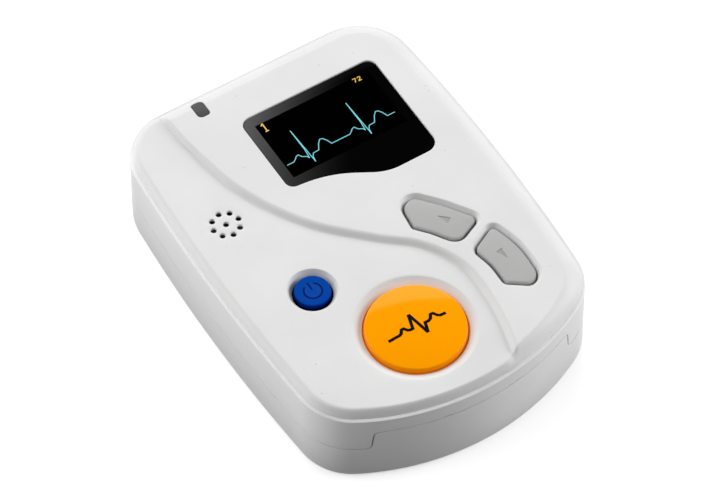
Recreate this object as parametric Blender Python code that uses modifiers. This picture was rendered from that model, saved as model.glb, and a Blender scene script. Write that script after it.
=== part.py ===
# Pocket ECG recorder: two-part white case, sunken display, four push buttons, battery bay.
# Metres, +Z up. The origin is the middle of the underside. +Y points to the display end,
# -Y to the end with the large event button, and +X to the right of the person who reads it.

import math

import bmesh
import bpy
from mathutils import Matrix, Vector

# Case outline: the room round the battery block sets the width and the length
side_room = 0.0072
end_room = 0.02087
widest_place = 0.00268
side_arc_radius = 0.47865
front_arc_radius = 0.0637
back_corner_radius = 0.0141
front_corner_radius = 0.0143

# Case heights
seam_height = 0.011
seam_gap = 0.0003
plateau_rise = 0.00195
deck_rise = 0.00098
foot_round = 0.0012

# Walls
wall = 0.002
floor_wall = 0.002
ceiling_wall = 0.0018
ceiling_chamfer = 0.0013

# Rim groove and crown
lip_width = 0.0006
lip_round = 0.00025
groove_width = 0.00055
groove_depth = 0.0005
crown_slope_width = 0.00355
crown_steps = 5
crown_power = 1.5

# Seam tongue at the front and the lip behind the seam
tongue_half_width = 0.0269
tongue_rise = 0.0062
tongue_corner = 0.0013
seam_lip_width = 0.0008
seam_lip_rise = 0.0011

# Curved step between the plateau and the raised deck: place shares of the half width and the
# half length, then the share of step_width
step_width = 0.0015
step_shares = [
    (-0.635, 1.10, 0.35),
    (-0.622, 0.96, 0.40),
    (-0.600, 0.74, 0.55),
    (-0.510, 0.42, 0.75),
    (-0.300, 0.12, 1.00),
    (-0.020, -0.10, 1.00),
    (0.220, -0.235, 1.00),
    (0.345, -0.400, 0.90),
    (0.360, -0.550, 0.80),
    (0.330, -0.750, 0.75),
    (0.275, -0.920, 0.75),
    (0.200, -1.100, 0.75),
]

# Fits
fit = 0.0003
seat = 0.0002
overrun = 0.002
merge_distance = 0.00001

# Buttons, all
travel = 0.0005
flange_width = 0.001
flange_height = 0.0008

# Event button
event_place_shares = (-0.1372, -0.5994)
event_radius = 0.01235
event_rim = 0.00085
event_rim_fall = 0.0008
event_dome = 0.0009
event_shell = 0.0013
event_post_radius = 0.002
event_dish_width = 0.0017
event_dish_depth = 0.0006

# Power button
power_place_shares = (-0.523, -0.2086)
power_radius = 0.00445
power_rim = 0.0005
power_rim_fall = 0.0005
power_proud = 0.00015
power_dish_width = 0.00105
power_dish_depth = 0.00075

# Arrow keys: middle as shares of the case, corners as shares of the key's half sizes
key_sunk = 0.00068
key_round = 0.00035
key_flare = 0.0008
key_mark_depth = 0.0002
key_mark_size = 0.0026
up_key_width = 0.0142
up_key_length = 0.0163
up_key_place_shares = (0.4231, -0.1541)
up_key_corner_shares = [
    (-0.042, -0.969),
    (1.000, -0.575),
    (0.280, 0.460),
    (-0.394, 0.994),
    (-0.845, 0.920),
    (-0.986, 0.086),
    (-0.493, -0.417),
]
up_key_radius_shares = [0.13, 0.085, 1.0, 0.13, 0.155, 0.11, 1.2]
up_key_mark_shares = (0.0, -0.09)
down_key_width = 0.009
down_key_length = 0.0189
down_key_place_shares = (0.5744, -0.4942)
down_key_corner_shares = [
    (-0.778, -0.603),
    (0.489, -1.000),
    (1.000, -0.862),
    (0.978, 0.000),
    (0.622, 0.990),
    (-0.978, 0.640),
    (-0.800, 0.130),
]
down_key_radius_shares = [0.145, 0.22, 0.18, 2.0, 0.11, 0.18, 2.0]
down_key_mark_shares = (0.1, 0.13)

# Display lens: corners as shares of its half sizes
lens_width = 0.0369
lens_length = 0.0309
lens_place_shares = (0.2141, 0.4486)
lens_thickness = 0.0013
lens_sunk = 0.00025
lens_round = 0.0002
lens_gap = 0.0002
lens_corner_shares = [
    (-1.000, -0.482),
    (-0.453, -0.543),
    (0.214, -0.997),
    (1.000, -0.990),
    (1.000, 1.000),
    (-1.000, 1.000),
]
lens_radius_shares = [0.060, 0.813, 0.352, 0.087, 0.068, 0.068]
gasket_width = 0.0008
gasket_thickness = 0.00015

# Display module behind the lens
panel_side_margin = 0.0018
panel_back_margin = 0.0011
panel_length = 0.0204
panel_thickness = 0.0015
panel_ledge_gap = 0.0004
bracket_rim = 0.002
flex_width = 0.012
flex_thickness = 0.0002

# Indicator window
pipe_width = 0.00315
pipe_length = 0.0059
pipe_corner = 0.0011
pipe_place_shares = (-0.402, 0.9015)
led_width = 0.0016
led_length = 0.003
led_height = 0.0008

# Sounder
sounder_place_shares = (-0.7, 0.3025)
sound_hole_radius = 0.0006
sound_ring_radius = 0.00336
sound_ring_count = 8
sounder_radius = 0.006
sounder_port_radius = 0.0011
sounder_port_depth = 0.0008

# Circuit board and switches
board_thickness = 0.001
board_inset = 0.0034
switch_width = 0.0052
switch_height = 0.0017
plunger_radius = 0.0014
plunger_proud = 0.00055
plunger_sunk = 0.0007

# Parts on the board: width, length, height, then the place as shares of the case. The memory
# keeps part_gap from the display's tail, and the shield keeps it from the panel and the sounder
chip_bevel = 0.0002
part_gap = 0.001
processor_size = (0.010, 0.010, 0.0014)
processor_place_shares = (-0.40, 0.10)
memory_size = (0.006, 0.008, 0.0012)
memory_across_share = 0.02
crystal_size = (0.0032, 0.005, 0.0009)
crystal_place_shares = (-0.16, 0.21)
shield_size = (0.012, 0.018, 0.0024)
backup_cell_radius = 0.0034
backup_cell_height = 0.0021
backup_cell_place_shares = (0.55, 0.06)

# Screws and bosses
screw_head_radius = 0.0025
screw_head_height = 0.0019
screw_head_sunk = 0.0011
screw_radius = 0.0013
screw_length = 0.0125
screw_slot_width = 0.0007
screw_slot_depth = 0.0008
front_boss_radius = 0.0032
rear_boss_radius = 0.0042
back_boss_inset = 0.0085
front_boss_inset = 0.0053

# Battery cells and contacts
cell_radius = 0.00725
cell_length = 0.0505
cell_nub_radius = 0.00265
cell_nub_length = 0.001
cell_edge = 0.0006
cell_spacing = 0.0008
contact_thickness = 0.0004
contact_width = 0.009
contact_height = 0.0095
spring_length = 0.0056
spring_wire = 0.0007
spring_large_radius = 0.0036
spring_small_radius = 0.0022
spring_turns = 3.5
spring_points_per_turn = 10

# Battery bay and card bay
bay_ceiling = 0.001
bay_play = 0.0009
bay_partition = 0.0015
bay_ledge = 0.002
bay_joint = 0.001
well_floor = 0.0015

# Memory card and its socket
card_length = 0.032
card_width = 0.024
card_thickness = 0.0021
card_corner = 0.0041
card_grip = 0.0025
card_side_play = 0.00125
card_below_ceiling = 0.0004
card_socket_shell = 0.0005
card_bay_wall = 0.0016

# Battery door
door_sunk = 0.00015
door_corner = 0.003
tab_width = 0.008
tab_height = 0.0012
tab_reach = 0.0023
tab_root = 0.002
tab_spread_share = 0.62
latch_width = 0.009
latch_height = 0.0032
latch_thickness = 0.0012
latch_nose = 0.0009
latch_nose_height = 0.0008
grip_count = 5
grip_pitch = 0.0024
grip_width = 0.0011
grip_depth = 0.0005
grip_length = 0.016
thumb_radius = 0.012
thumb_depth = 0.0011

# Lead socket
socket_width = 0.024
socket_height = 0.0066
socket_depth = 0.0135
socket_wall = 0.0009
socket_bore_depth = 0.0095
socket_sunk = 0.0004
pin_base = 0.0012
pin_radius = 0.00035
pin_length = 0.003
pin_columns = 8
pin_pitch = 0.0022
pin_row_pitch = 0.002

# Derived sizes, from the floor up through the cells, the board and the switches to the deck
seam_lip_inset = wall - seam_lip_width
bay_height = floor_wall + 2 * cell_radius + 2 * seat
bay_top = bay_height + bay_ceiling
board_bottom = bay_top + fit
board_top = board_bottom + board_thickness
part_bottom = board_top + seat
switch_top = part_bottom + switch_height
plunger_top = switch_top + plunger_proud
button_bottom = plunger_top + fit
flange_top = button_bottom + flange_height
ceiling_height = flange_top + seat
plateau_height = ceiling_height + ceiling_wall
deck_height = plateau_height + deck_rise
lip_height = plateau_height - plateau_rise
groove_floor = lip_height - groove_depth
crown_inset = lip_width + groove_width
crown_base = lip_height - lip_round
tongue_height = seam_height + tongue_rise
lens_top = deck_height - lens_sunk
lens_bottom = lens_top - lens_thickness
ledge_top = lens_bottom - gasket_thickness - seat
panel_top = lens_bottom - seat
panel_bottom = panel_top - panel_thickness
bay_half_x = (cell_length + spring_length + 3 * contact_thickness + fit) / 2
cell_zone = 4 * cell_radius + cell_spacing + bay_play
card_zone = card_width + 2 * card_side_play
bay_half_y = (cell_zone + bay_partition + card_zone) / 2
recess_half_x = bay_half_x + bay_ledge
recess_half_y = bay_half_y + bay_ledge
block_half_x = recess_half_x + bay_joint
block_half_y = recess_half_y + bay_joint
half_width = block_half_x + side_room
half_length = block_half_y + end_room
partition_y = -bay_half_y + cell_zone
card_y = partition_y + bay_partition + card_zone / 2
card_bay_end = card_grip
card_end = card_length
card_top = bay_height - card_below_ceiling
card_bottom = card_top - card_thickness
socket_bottom = board_bottom - fit - socket_height
door_half_x = recess_half_x - fit
door_half_y = recess_half_y - fit
door_top = floor_wall - fit
door_middle = (door_sunk + door_top) / 2
tab_bottom = floor_wall + seat

parts = bpy.data.collections.new("holter_monitor")
cutters = bpy.data.collections.new("cutters")


# Outlines

def case_corner_centres():
    """Centres of the side arc, the front arc and the two right-hand corner arcs."""
    side = Vector((half_width - side_arc_radius, widest_place))
    front = Vector((0, front_arc_radius - half_length))
    back_y = half_length - back_corner_radius
    back_run = side_arc_radius - back_corner_radius
    back_x = side.x + math.sqrt(back_run ** 2 - (back_y - side.y) ** 2)
    reach_side = side_arc_radius - front_corner_radius
    reach_front = front_arc_radius - front_corner_radius
    between = front - side
    along = (reach_side ** 2 - reach_front ** 2 + between.length_squared) / (2 * between.length)
    off = math.sqrt(reach_side ** 2 - along ** 2)
    unit = between.normalized()
    corner = side + unit * along + Vector((unit.y, -unit.x)) * off
    return side, front, Vector((back_x, back_y)), corner


def arc(centre, radius, start, end, steps):
    """Points on an arc from angle start to angle end, both included."""
    angles = [start + (end - start) * k / steps for k in range(steps + 1)]
    return [(centre[0] + radius * math.cos(a), centre[1] + radius * math.sin(a)) for a in angles]


def case_outline(inset=0):
    """The case's outline moved inwards by inset, counter-clockwise from the front middle."""
    side, front, back_corner, front_corner = case_corner_centres()
    front_turn = math.atan2(front_corner.y - front.y, front_corner.x - front.x)
    side_start = math.atan2(front_corner.y - side.y, front_corner.x - side.x)
    side_end = math.atan2(back_corner.y - side.y, back_corner.x - side.x)
    right = arc(front, front_arc_radius - inset, -math.pi / 2, front_turn, 6)
    right += arc(front_corner, front_corner_radius - inset, front_turn, side_start, 7)[1:]
    right += arc(side, side_arc_radius - inset, side_start, 0, 3)[1:]
    right += arc(side, side_arc_radius - inset, 0, side_end, 3)[1:]
    right += arc(back_corner, back_corner_radius - inset, side_end, math.pi / 2, 7)[1:]
    left = [(-x, y) for x, y in reversed(right)]
    return right + left[:-1]


def rounded_outline(corners, radii, grow=0, steps=4):
    """A counter-clockwise polygon with each corner rounded, moved outwards by grow."""
    points = []
    count = len(corners)
    for i in range(count):
        here = Vector(corners[i])
        into = (here - Vector(corners[i - 1])).normalized()
        out = (Vector(corners[(i + 1) % count]) - here).normalized()
        into_normal = Vector((into.y, -into.x))
        out_normal = Vector((out.y, -out.x))
        tip = here + (into_normal + out_normal) * grow / (1 + into_normal.dot(out_normal))
        turn = math.atan2(into.x * out.y - into.y * out.x, into.dot(out))
        hand = math.copysign(1, turn)
        radius = radii[i] + hand * grow
        run = radius * math.tan(abs(turn) / 2)
        centre = tip - into * run - into_normal * radius * hand
        first = math.atan2(into_normal.y * hand, into_normal.x * hand)
        points += arc(centre, radius, first, first + turn, steps)
    return points


def rectangle(x, y, half_x, half_y):
    """The four corners of a rectangle round the point x, y."""
    return [
        (x - half_x, y - half_y),
        (x + half_x, y - half_y),
        (x + half_x, y + half_y),
        (x - half_x, y + half_y),
    ]


def round_rectangle(x, y, half_x, half_y, radius, grow=0):
    """A rectangle with four equal round corners."""
    return rounded_outline(rectangle(x, y, half_x, half_y), [radius] * 4, grow)


def circle(x, y, radius, count=32):
    """A circle as count points, counter-clockwise."""
    return arc((x, y), radius, 0, 2 * math.pi * (count - 1) / count, count - 1)


def place(shares):
    """A point given as shares of the case's half width and half length."""
    return Vector((shares[0] * half_width, shares[1] * half_length))


def placed_corners(shares, middle, width, length):
    """Corners given as shares of half a width and half a length, round a middle."""
    return [(middle.x + x * width / 2, middle.y + y * length / 2) for x, y in shares]


def up_key_outline(grow=0):
    """The upper arrow key's outline."""
    middle = place(up_key_place_shares)
    corners = placed_corners(up_key_corner_shares, middle, up_key_width, up_key_length)
    radii = [share * up_key_width for share in up_key_radius_shares]
    return rounded_outline(corners, radii, grow)


def down_key_outline(grow=0):
    """The lower arrow key's outline."""
    middle = place(down_key_place_shares)
    corners = placed_corners(down_key_corner_shares, middle, down_key_width, down_key_length)
    radii = [share * down_key_width for share in down_key_radius_shares]
    return rounded_outline(corners, radii, grow)


def lens_outline(grow=0):
    """The display lens's outline, with its curved lower edge."""
    middle = place(lens_place_shares)
    corners = placed_corners(lens_corner_shares, middle, lens_width, lens_length)
    radii = [share * lens_width for share in lens_radius_shares]
    return rounded_outline(corners, radii, grow, 5)


def panel_box(grow=0):
    """The display panel's corners, kept inside the lens at the sides and the back."""
    middle = place(lens_place_shares)
    half_x = lens_width / 2 - panel_side_margin
    back = middle.y + lens_length / 2 - panel_back_margin
    return rectangle(middle.x, back - panel_length / 2, half_x + grow, panel_length / 2 + grow)


def step_line(side):
    """The curved step's line, moved across the step by side half widths."""
    knots = [Vector((x * half_width, y * half_length, w * step_width / 2)) for x, y, w in step_shares]
    line = []
    for k in range(1, len(knots) - 2):
        before, start, end, after = knots[k - 1:k + 3]
        for step in range(4):
            t = step / 4
            bend = 2 * before - 5 * start + 4 * end - after
            twist = 3 * start - before - 3 * end + after
            line.append((2 * start + (end - before) * t + bend * t ** 2 + twist * t ** 3) / 2)
    line.append(knots[-2])
    moved = []
    for k, point in enumerate(line):
        run = line[min(k + 1, len(line) - 1)] - line[max(k - 1, 0)]
        across = Vector((-run.y, run.x)).normalized()
        moved.append((point.x + across.x * point.z * side, point.y + across.y * point.z * side))
    return moved


# Solids

def add_object(name, mesh, home):
    """Links a mesh as a named object."""
    item = bpy.data.objects.new(name, mesh)
    home.objects.link(item)
    return item


def mesh_from(name, shape):
    """Turns a bmesh into a mesh, with round faces smooth and edges sharp past 30 degrees."""
    mesh = bpy.data.meshes.new(name)
    shape.to_mesh(mesh)
    shape.free()
    mesh.shade_smooth()
    mesh.set_sharp_from_angle(angle=math.radians(30))
    return mesh


def loft(name, rings, home=parts):
    """A closed solid through rings of equal counts, listed from bottom to top."""
    shape = bmesh.new()
    levels = [[shape.verts.new((x, y, z)) for x, y in points] for points, z in rings]
    for low, high in zip(levels, levels[1:]):
        for i in range(len(low)):
            j = (i + 1) % len(low)
            shape.faces.new((low[i], low[j], high[j], high[i]))
    shape.faces.new(list(reversed(levels[0])))
    shape.faces.new(levels[-1])
    return add_object(name, mesh_from(name, shape), home)


def prism(name, outline, bottom, top, home=parts):
    """An outline carried straight up from bottom to top."""
    return loft(name, [(outline, bottom), (outline, top)], home)


def box(name, low, high, home=parts):
    """A box between two corners."""
    shape = bmesh.new()
    size = Vector(high) - Vector(low)
    middle = (Vector(high) + Vector(low)) / 2
    matrix = Matrix.Translation(middle) @ Matrix.Diagonal((*size, 1))
    bmesh.ops.create_cube(shape, size=1, matrix=matrix)
    return add_object(name, mesh_from(name, shape), home)


def cylinder(name, x, y, radius, bottom, top, home=parts, count=24):
    """An upright cylinder."""
    shape = bmesh.new()
    matrix = Matrix.Translation((x, y, (bottom + top) / 2))
    bmesh.ops.create_cone(
        shape,
        cap_ends=True,
        segments=count,
        radius1=radius,
        radius2=radius,
        depth=top - bottom,
        matrix=matrix,
    )
    return add_object(name, mesh_from(name, shape), home)


def turned(name, profile, steps=32, home=parts):
    """A profile of radius and height, listed from the top of the axis down, turned about Z."""
    mesh = bpy.data.meshes.new(name)
    points = [(radius, 0, height) for radius, height in profile]
    edges = [(k, k + 1) for k in range(len(points) - 1)]
    mesh.from_pydata(points, edges, [])
    item = add_object(name, mesh, home)
    screw = item.modifiers.new("turn", "SCREW")
    screw.steps = steps
    screw.render_steps = steps
    screw.use_merge_vertices = True
    screw.merge_threshold = merge_distance
    screw.use_smooth_shade = True
    return item


def rounded(item, width, segments=1):
    """Rounds the edges of an object."""
    bevel = item.modifiers.new("round", "BEVEL")
    bevel.width = width
    bevel.segments = segments
    bevel.limit_method = "ANGLE"
    return item


def combine(item, tool, operation):
    """Adds a Boolean and files its tool with the cutters."""
    step = item.modifiers.new(tool.name, "BOOLEAN")
    step.operation = operation
    step.solver = "EXACT"
    step.object = tool
    for home in list(tool.users_collection):
        home.objects.unlink(tool)
    cutters.objects.link(tool)
    tool.hide_render = True
    tool.display_type = "WIRE"
    return item


def cut(item, tool):
    """Takes a tool's shape out of an object."""
    return combine(item, tool, "DIFFERENCE")


def join(item, tool):
    """Adds a tool's shape to an object."""
    return combine(item, tool, "UNION")


def keep(item, tool):
    """Keeps only what an object shares with a tool's shape."""
    return combine(item, tool, "INTERSECT")


# Materials

def finish(name, colour, roughness, metallic=0):
    """A Principled material."""
    material = bpy.data.materials.new(name)
    material.use_nodes = True
    shader = material.node_tree.nodes["Principled BSDF"]
    shader.inputs["Base Color"].default_value = (*colour, 1)
    shader.inputs["Roughness"].default_value = roughness
    shader.inputs["Metallic"].default_value = metallic
    material.diffuse_color = (*colour, 1)
    return material


def paint(item, material):
    """Gives an object its material."""
    item.data.materials.clear()
    item.data.materials.append(material)


# Shapes that several pieces share

def crown_rings(sink=0):
    """The sloped crown above the rim groove, from its foot to the deck."""
    rise = deck_height - crown_base
    rings = [(case_outline(crown_inset), groove_floor - sink)]
    for k in range(crown_steps + 1):
        turn = math.pi / 2 * k / crown_steps
        across = math.cos(turn) ** (2 / crown_power)
        up = math.sin(turn) ** (2 / crown_power)
        inset = crown_inset + crown_slope_width * (1 - across)
        rings.append((case_outline(inset), crown_base + rise * up - sink))
    return rings


def tongue(name, grow, top_extra=0):
    """The block in front of which the seam climbs, seen from the front as a low hat."""
    top = tongue_height + top_extra + grow
    reach = tongue_half_width + grow
    bottom = seam_height - overrun
    low = seam_height + grow + top_extra
    corners = [
        (-reach - 3 * tongue_corner, bottom),
        (reach + 3 * tongue_corner, bottom),
        (reach + 3 * tongue_corner, low),
        (reach, low),
        (reach - tongue_corner / 2, top),
        (tongue_corner / 2 - reach, top),
        (-reach, low),
        (-reach - 3 * tongue_corner, low),
    ]
    sharp = tongue_corner / 100
    radii = [sharp, sharp, sharp, tongue_corner, tongue_corner, tongue_corner, tongue_corner, sharp]
    outline = rounded_outline(corners, radii)
    rear = front_corner_radius + wall - half_length
    item = loft(name, [(outline, 0), (outline, overrun + half_length + rear)], cutters)
    item.data.transform(Matrix.Rotation(math.pi / 2, 4, "X"))
    item.data.transform(Matrix.Translation((0, rear, 0)))
    return item


def seam_block(name, inset, bottom, top, grow, extra):
    """What lies under the seam inside an inset outline: low all round, higher at the front tongue."""
    item = prism(name, case_outline(inset), bottom, tongue_height + overrun)
    above = prism(f"above_{name}", case_outline(-overrun), top, tongue_height + 2 * overrun)
    cut(above, tongue(f"{name}_tongue", grow, extra))
    return cut(item, above)


def boss_places():
    """The four screw places: right and left, back and front."""
    _, _, back, front = case_corner_centres()
    slant = Vector((1, 1)).normalized()
    back = back + slant * (back_corner_radius - back_boss_inset)
    front = front + Vector((slant.x, -slant.y)) * (front_corner_radius - front_boss_inset)
    return [(back.x, back.y), (-back.x, back.y), (front.x, front.y), (-front.x, front.y)]


def socket_cutout(name, grow):
    """The hole in the back wall for the lead socket."""
    half = socket_width / 2 + grow
    low = (-half, half_length - wall - socket_depth, socket_bottom - grow)
    high = (half, half_length + overrun, socket_bottom + socket_height + grow)
    return box(name, low, high, cutters)


# Case

def make_front_cover():
    """The upper shell: wall, lip, groove, crown, deck, recesses, holes and screw bosses."""
    foot = seam_height + seam_gap / 2
    rings = [
        (case_outline(), foot),
        (case_outline(), lip_height - lip_round),
        (case_outline(lip_round), lip_height),
        (case_outline(lip_width - lip_round / 2), lip_height - lip_round / 3),
        (case_outline(lip_width), groove_floor),
    ]
    item = loft("front_cover", rings + crown_rings())

    corner = ceiling_height - ceiling_chamfer
    inside = [
        (case_outline(wall), foot - overrun),
        (case_outline(wall), corner),
        (case_outline(wall + ceiling_chamfer), ceiling_height),
    ]
    cut(item, loft("inside_of_front", inside, cutters))
    rebate_top = seam_height + seam_lip_rise + fit
    rebate_inset = seam_lip_inset - fit
    cut(item, seam_block("seam_rebate", rebate_inset, foot - overrun, rebate_top, fit, seam_lip_rise))
    cut(item, tongue("tongue_notch", seam_gap / 2))

    low = step_line(-1)
    over = 1 + 2 * overrun / deck_rise
    high = step_line(over)
    far = [(-2 * half_width, -2 * half_length), (-2 * half_width, 2 * half_length)]
    low_ring = list(reversed(low + far))
    high_ring = list(reversed(high + far))
    cut(item, loft("deck_step", [(low_ring, plateau_height), (high_ring, deck_height + overrun)], cutters))

    for number, (x, y) in enumerate(boss_places()):
        boss_foot = foot + fit
        boss_top = ceiling_height + ceiling_wall / 2
        join(item, cylinder(f"front_boss_{number}", x, y, front_boss_radius, boss_foot, boss_top))
        hole_top = screw_head_sunk + screw_head_height + screw_length + fit
        cut(item, cylinder(f"front_boss_hole_{number}", x, y, screw_radius + fit, 0, hole_top, count=16))

    cut_button_hole(item, "event", event_place_shares, event_radius, event_dish_width, event_dish_depth)
    cut_button_hole(item, "power", power_place_shares, power_radius, power_dish_width, power_dish_depth)
    cut_key_hole(item, "up_key_hole", up_key_outline)
    cut_key_hole(item, "down_key_hole", down_key_outline)

    cut(item, prism("lens_seat", lens_outline(lens_gap), ledge_top, deck_height + overrun, cutters))
    through = panel_box(panel_ledge_gap)
    cut(item, prism("panel_window", through, ceiling_height - overrun, deck_height, cutters))

    spot = place(pipe_place_shares)
    slot = round_rectangle(spot.x, spot.y, pipe_width / 2, pipe_length / 2, pipe_corner, seat)
    slot_foot = ceiling_height - ceiling_chamfer - overrun
    cut(item, prism("pipe_hole", slot, slot_foot, deck_height + overrun, cutters))

    for number, (x, y) in enumerate(sound_holes()):
        foot = ceiling_height - overrun
        cut(item, cylinder(f"sound_hole_{number}", x, y, sound_hole_radius, foot, deck_height, count=10))
    cut(item, socket_cutout("socket_hole_front", fit))
    return item


def sound_holes():
    """The middle hole and the ring of holes over the sounder."""
    middle = place(sounder_place_shares)
    turns = [2 * math.pi * k / sound_ring_count for k in range(sound_ring_count)]
    ring = [
        (middle.x + sound_ring_radius * math.cos(a), middle.y + sound_ring_radius * math.sin(a))
        for a in turns
    ]
    return [(middle.x, middle.y)] + ring


def cut_button_hole(item, name, place_shares, radius, dish_width, dish_depth):
    """A round hole with a dished edge in the plateau."""
    spot = place(place_shares)
    bore = circle(spot.x, spot.y, radius + fit, 40)
    dish = circle(spot.x, spot.y, radius + fit + dish_width, 40)
    rings = [
        (bore, ceiling_height - overrun),
        (bore, plateau_height - dish_depth),
        (dish, plateau_height),
        (dish, deck_height + overrun),
    ]
    cut(item, loft(f"{name}_hole", rings, cutters))


def cut_key_hole(item, name, outline):
    """A key hole whose upper edge flares out to the deck."""
    rings = [
        (outline(fit), ceiling_height - overrun),
        (outline(fit), deck_height - key_sunk),
        (outline(fit + key_flare), deck_height),
        (outline(fit + key_flare), deck_height + overrun),
    ]
    cut(item, loft(name, rings, cutters))


def make_rear_cover():
    """The lower shell: floor, wall, front tongue, battery block, card well and screw bosses."""
    rim = seam_height - seam_gap / 2
    rings = [
        (case_outline(foot_round), 0),
        (case_outline(foot_round * 0.4), foot_round * 0.25),
        (case_outline(foot_round * 0.1), foot_round * 0.8),
        (case_outline(), foot_round * 2),
        (case_outline(), tongue_height + overrun),
    ]
    item = loft("rear_cover", rings)
    above = prism("above_rear", case_outline(-overrun), rim, tongue_height + 2 * overrun)
    cut(above, tongue("tongue_front", -seam_gap / 2))
    cut(item, above)
    lip_top = seam_height + seam_lip_rise
    join(item, seam_block("seam_lip", seam_lip_inset, rim - overrun, lip_top, 0, seam_lip_rise))
    cut(item, prism("inside_of_rear", case_outline(wall), floor_wall, lip_height, cutters))

    block_low = (-block_half_x, -block_half_y, floor_wall / 2)
    block_high = (block_half_x, block_half_y, bay_top)
    join(item, box("battery_block", block_low, block_high))
    for number, (x, y) in enumerate(boss_places()):
        join(item, cylinder(f"rear_boss_{number}", x, y, rear_boss_radius, floor_wall / 2, rim - fit))

    recess = round_rectangle(0, 0, recess_half_x, recess_half_y, door_corner)
    cut(item, prism("door_recess", recess, -overrun, floor_wall, cutters))
    cells_low = (-bay_half_x, -bay_half_y, -overrun)
    cut(item, box("cell_bay", cells_low, (bay_half_x, partition_y, bay_height), cutters))
    card_low = (-bay_half_x, partition_y + bay_partition, -overrun)
    cut(item, box("card_bay", card_low, (card_bay_end, bay_half_y, bay_height), cutters))
    well_low = (card_bay_end + card_bay_wall, partition_y + bay_partition, floor_wall + well_floor)
    well_high = (block_half_x + overrun, bay_half_y, bay_top + overrun)
    cut(item, box("card_well", well_low, well_high, cutters))
    slot_low = (card_bay_end - overrun, card_y - card_width / 2 - fit, card_bottom - fit)
    slot_high = (card_bay_end + card_bay_wall + overrun, card_y + card_width / 2 + fit, card_top + fit)
    cut(item, box("card_slot", slot_low, slot_high, cutters))

    for number, (x, y) in enumerate(boss_places()):
        head = screw_head_radius + fit
        deep = screw_head_sunk + screw_head_height + seat
        cut(item, cylinder(f"head_hole_{number}", x, y, head, -overrun, deep, cutters))
        cut(item, cylinder(f"shank_hole_{number}", x, y, screw_radius + fit, 0, seam_height, cutters, 16))

    for side in (-1, 1):
        x = side * tab_spread_share * recess_half_x
        low = (x - tab_width / 2 - fit, door_half_y - tab_root - 2 * tab_height, floor_wall - seat)
        high = (x + tab_width / 2 + fit, block_half_y + overrun, floor_wall + 2 * tab_height + tab_reach)
        cut(item, box(f"tab_pocket_{side + 2}", low, high, cutters))
    latch_low = (-latch_width / 2 - fit, -block_half_y - overrun, floor_wall - seat)
    latch_back = latch_thickness * 3 - block_half_y + bay_joint
    latch_high = (latch_width / 2 + fit, latch_back, floor_wall + latch_height + fit)
    cut(item, box("latch_pocket", latch_low, latch_high, cutters))
    thumb = thumb_radius ** 2 - (thumb_radius - thumb_depth) ** 2
    ball = bmesh.new()
    where = Matrix.Translation((0, -recess_half_y - math.sqrt(thumb) / 2, thumb_depth - thumb_radius))
    bmesh.ops.create_uvsphere(ball, u_segments=32, v_segments=24, radius=thumb_radius, matrix=where)
    cut(item, add_object("thumb_dip", mesh_from("thumb_dip", ball), cutters))
    cut(item, socket_cutout("socket_hole_rear", fit))
    return item


def make_battery_door():
    """The door: a plate with two tabs at the far end, a snap latch and grip grooves."""
    plate = round_rectangle(0, 0, door_half_x, door_half_y, door_corner)
    item = prism("battery_door", plate, door_sunk, door_top)
    for side in (-1, 1):
        x = side * tab_spread_share * recess_half_x
        root_low = (x - tab_width / 2, door_half_y - fit - tab_root, door_middle)
        root_high = (x + tab_width / 2, door_half_y - fit, tab_bottom + tab_height)
        join(item, box(f"tab_root_{side + 2}", root_low, root_high))
        tab_low = (x - tab_width / 2, door_half_y - fit - tab_root, tab_bottom)
        tab_high = (x + tab_width / 2, door_half_y + tab_reach, tab_bottom + tab_height)
        join(item, box(f"tab_{side + 2}", tab_low, tab_high))
    arm_front = -door_half_y + fit
    arm_low = (-latch_width / 2, arm_front + latch_nose, door_middle)
    arm_high = (latch_width / 2, arm_front + latch_nose + latch_thickness, floor_wall + latch_height - fit)
    join(item, box("latch_arm", arm_low, arm_high))
    nose_top = tab_bottom + latch_nose_height
    nose_low = (-latch_width / 2, arm_front - fit, tab_bottom)
    nose_high = (latch_width / 2, arm_front + latch_nose + latch_thickness / 2, nose_top)
    join(item, box("latch_nose", nose_low, nose_high))
    for number in range(grip_count):
        y = -door_half_y + grip_pitch * (number + 1.5)
        low = (-grip_length / 2, y - grip_width / 2, -overrun)
        high = (grip_length / 2, y + grip_width / 2, door_sunk + grip_depth)
        cut(item, box(f"grip_{number}", low, high, cutters))
    return item


def make_screws():
    """Four cross-headed screws, turned, each with its head in the rear cover."""
    items = []
    head_top = screw_head_sunk
    seat_height = screw_head_sunk + screw_head_height
    tip = seat_height + screw_length
    profile = [
        (0, tip),
        (screw_radius * 0.6, tip),
        (screw_radius, tip - screw_radius),
        (screw_radius, seat_height),
        (screw_head_radius, seat_height),
        (screw_head_radius, head_top + screw_head_height / 3),
        (screw_head_radius * 0.8, head_top),
        (0, head_top),
    ]
    for number, (x, y) in enumerate(boss_places()):
        item = turned(f"case_screw_{number + 1}", profile, 16)
        item.location = (x, y, 0)
        for turn, name in ((0, "across"), (math.pi / 2, "along")):
            low = (-screw_head_radius * 0.6, -screw_slot_width / 2, head_top - overrun)
            high = (screw_head_radius * 0.6, screw_slot_width / 2, head_top + screw_slot_depth)
            tool = box(f"slot_{name}_{number}", low, high, cutters)
            tool.location = (x, y, 0)
            tool.rotation_euler = (0, 0, turn)
            cut(item, tool)
        items.append(item)
    return items


# Buttons

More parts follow.
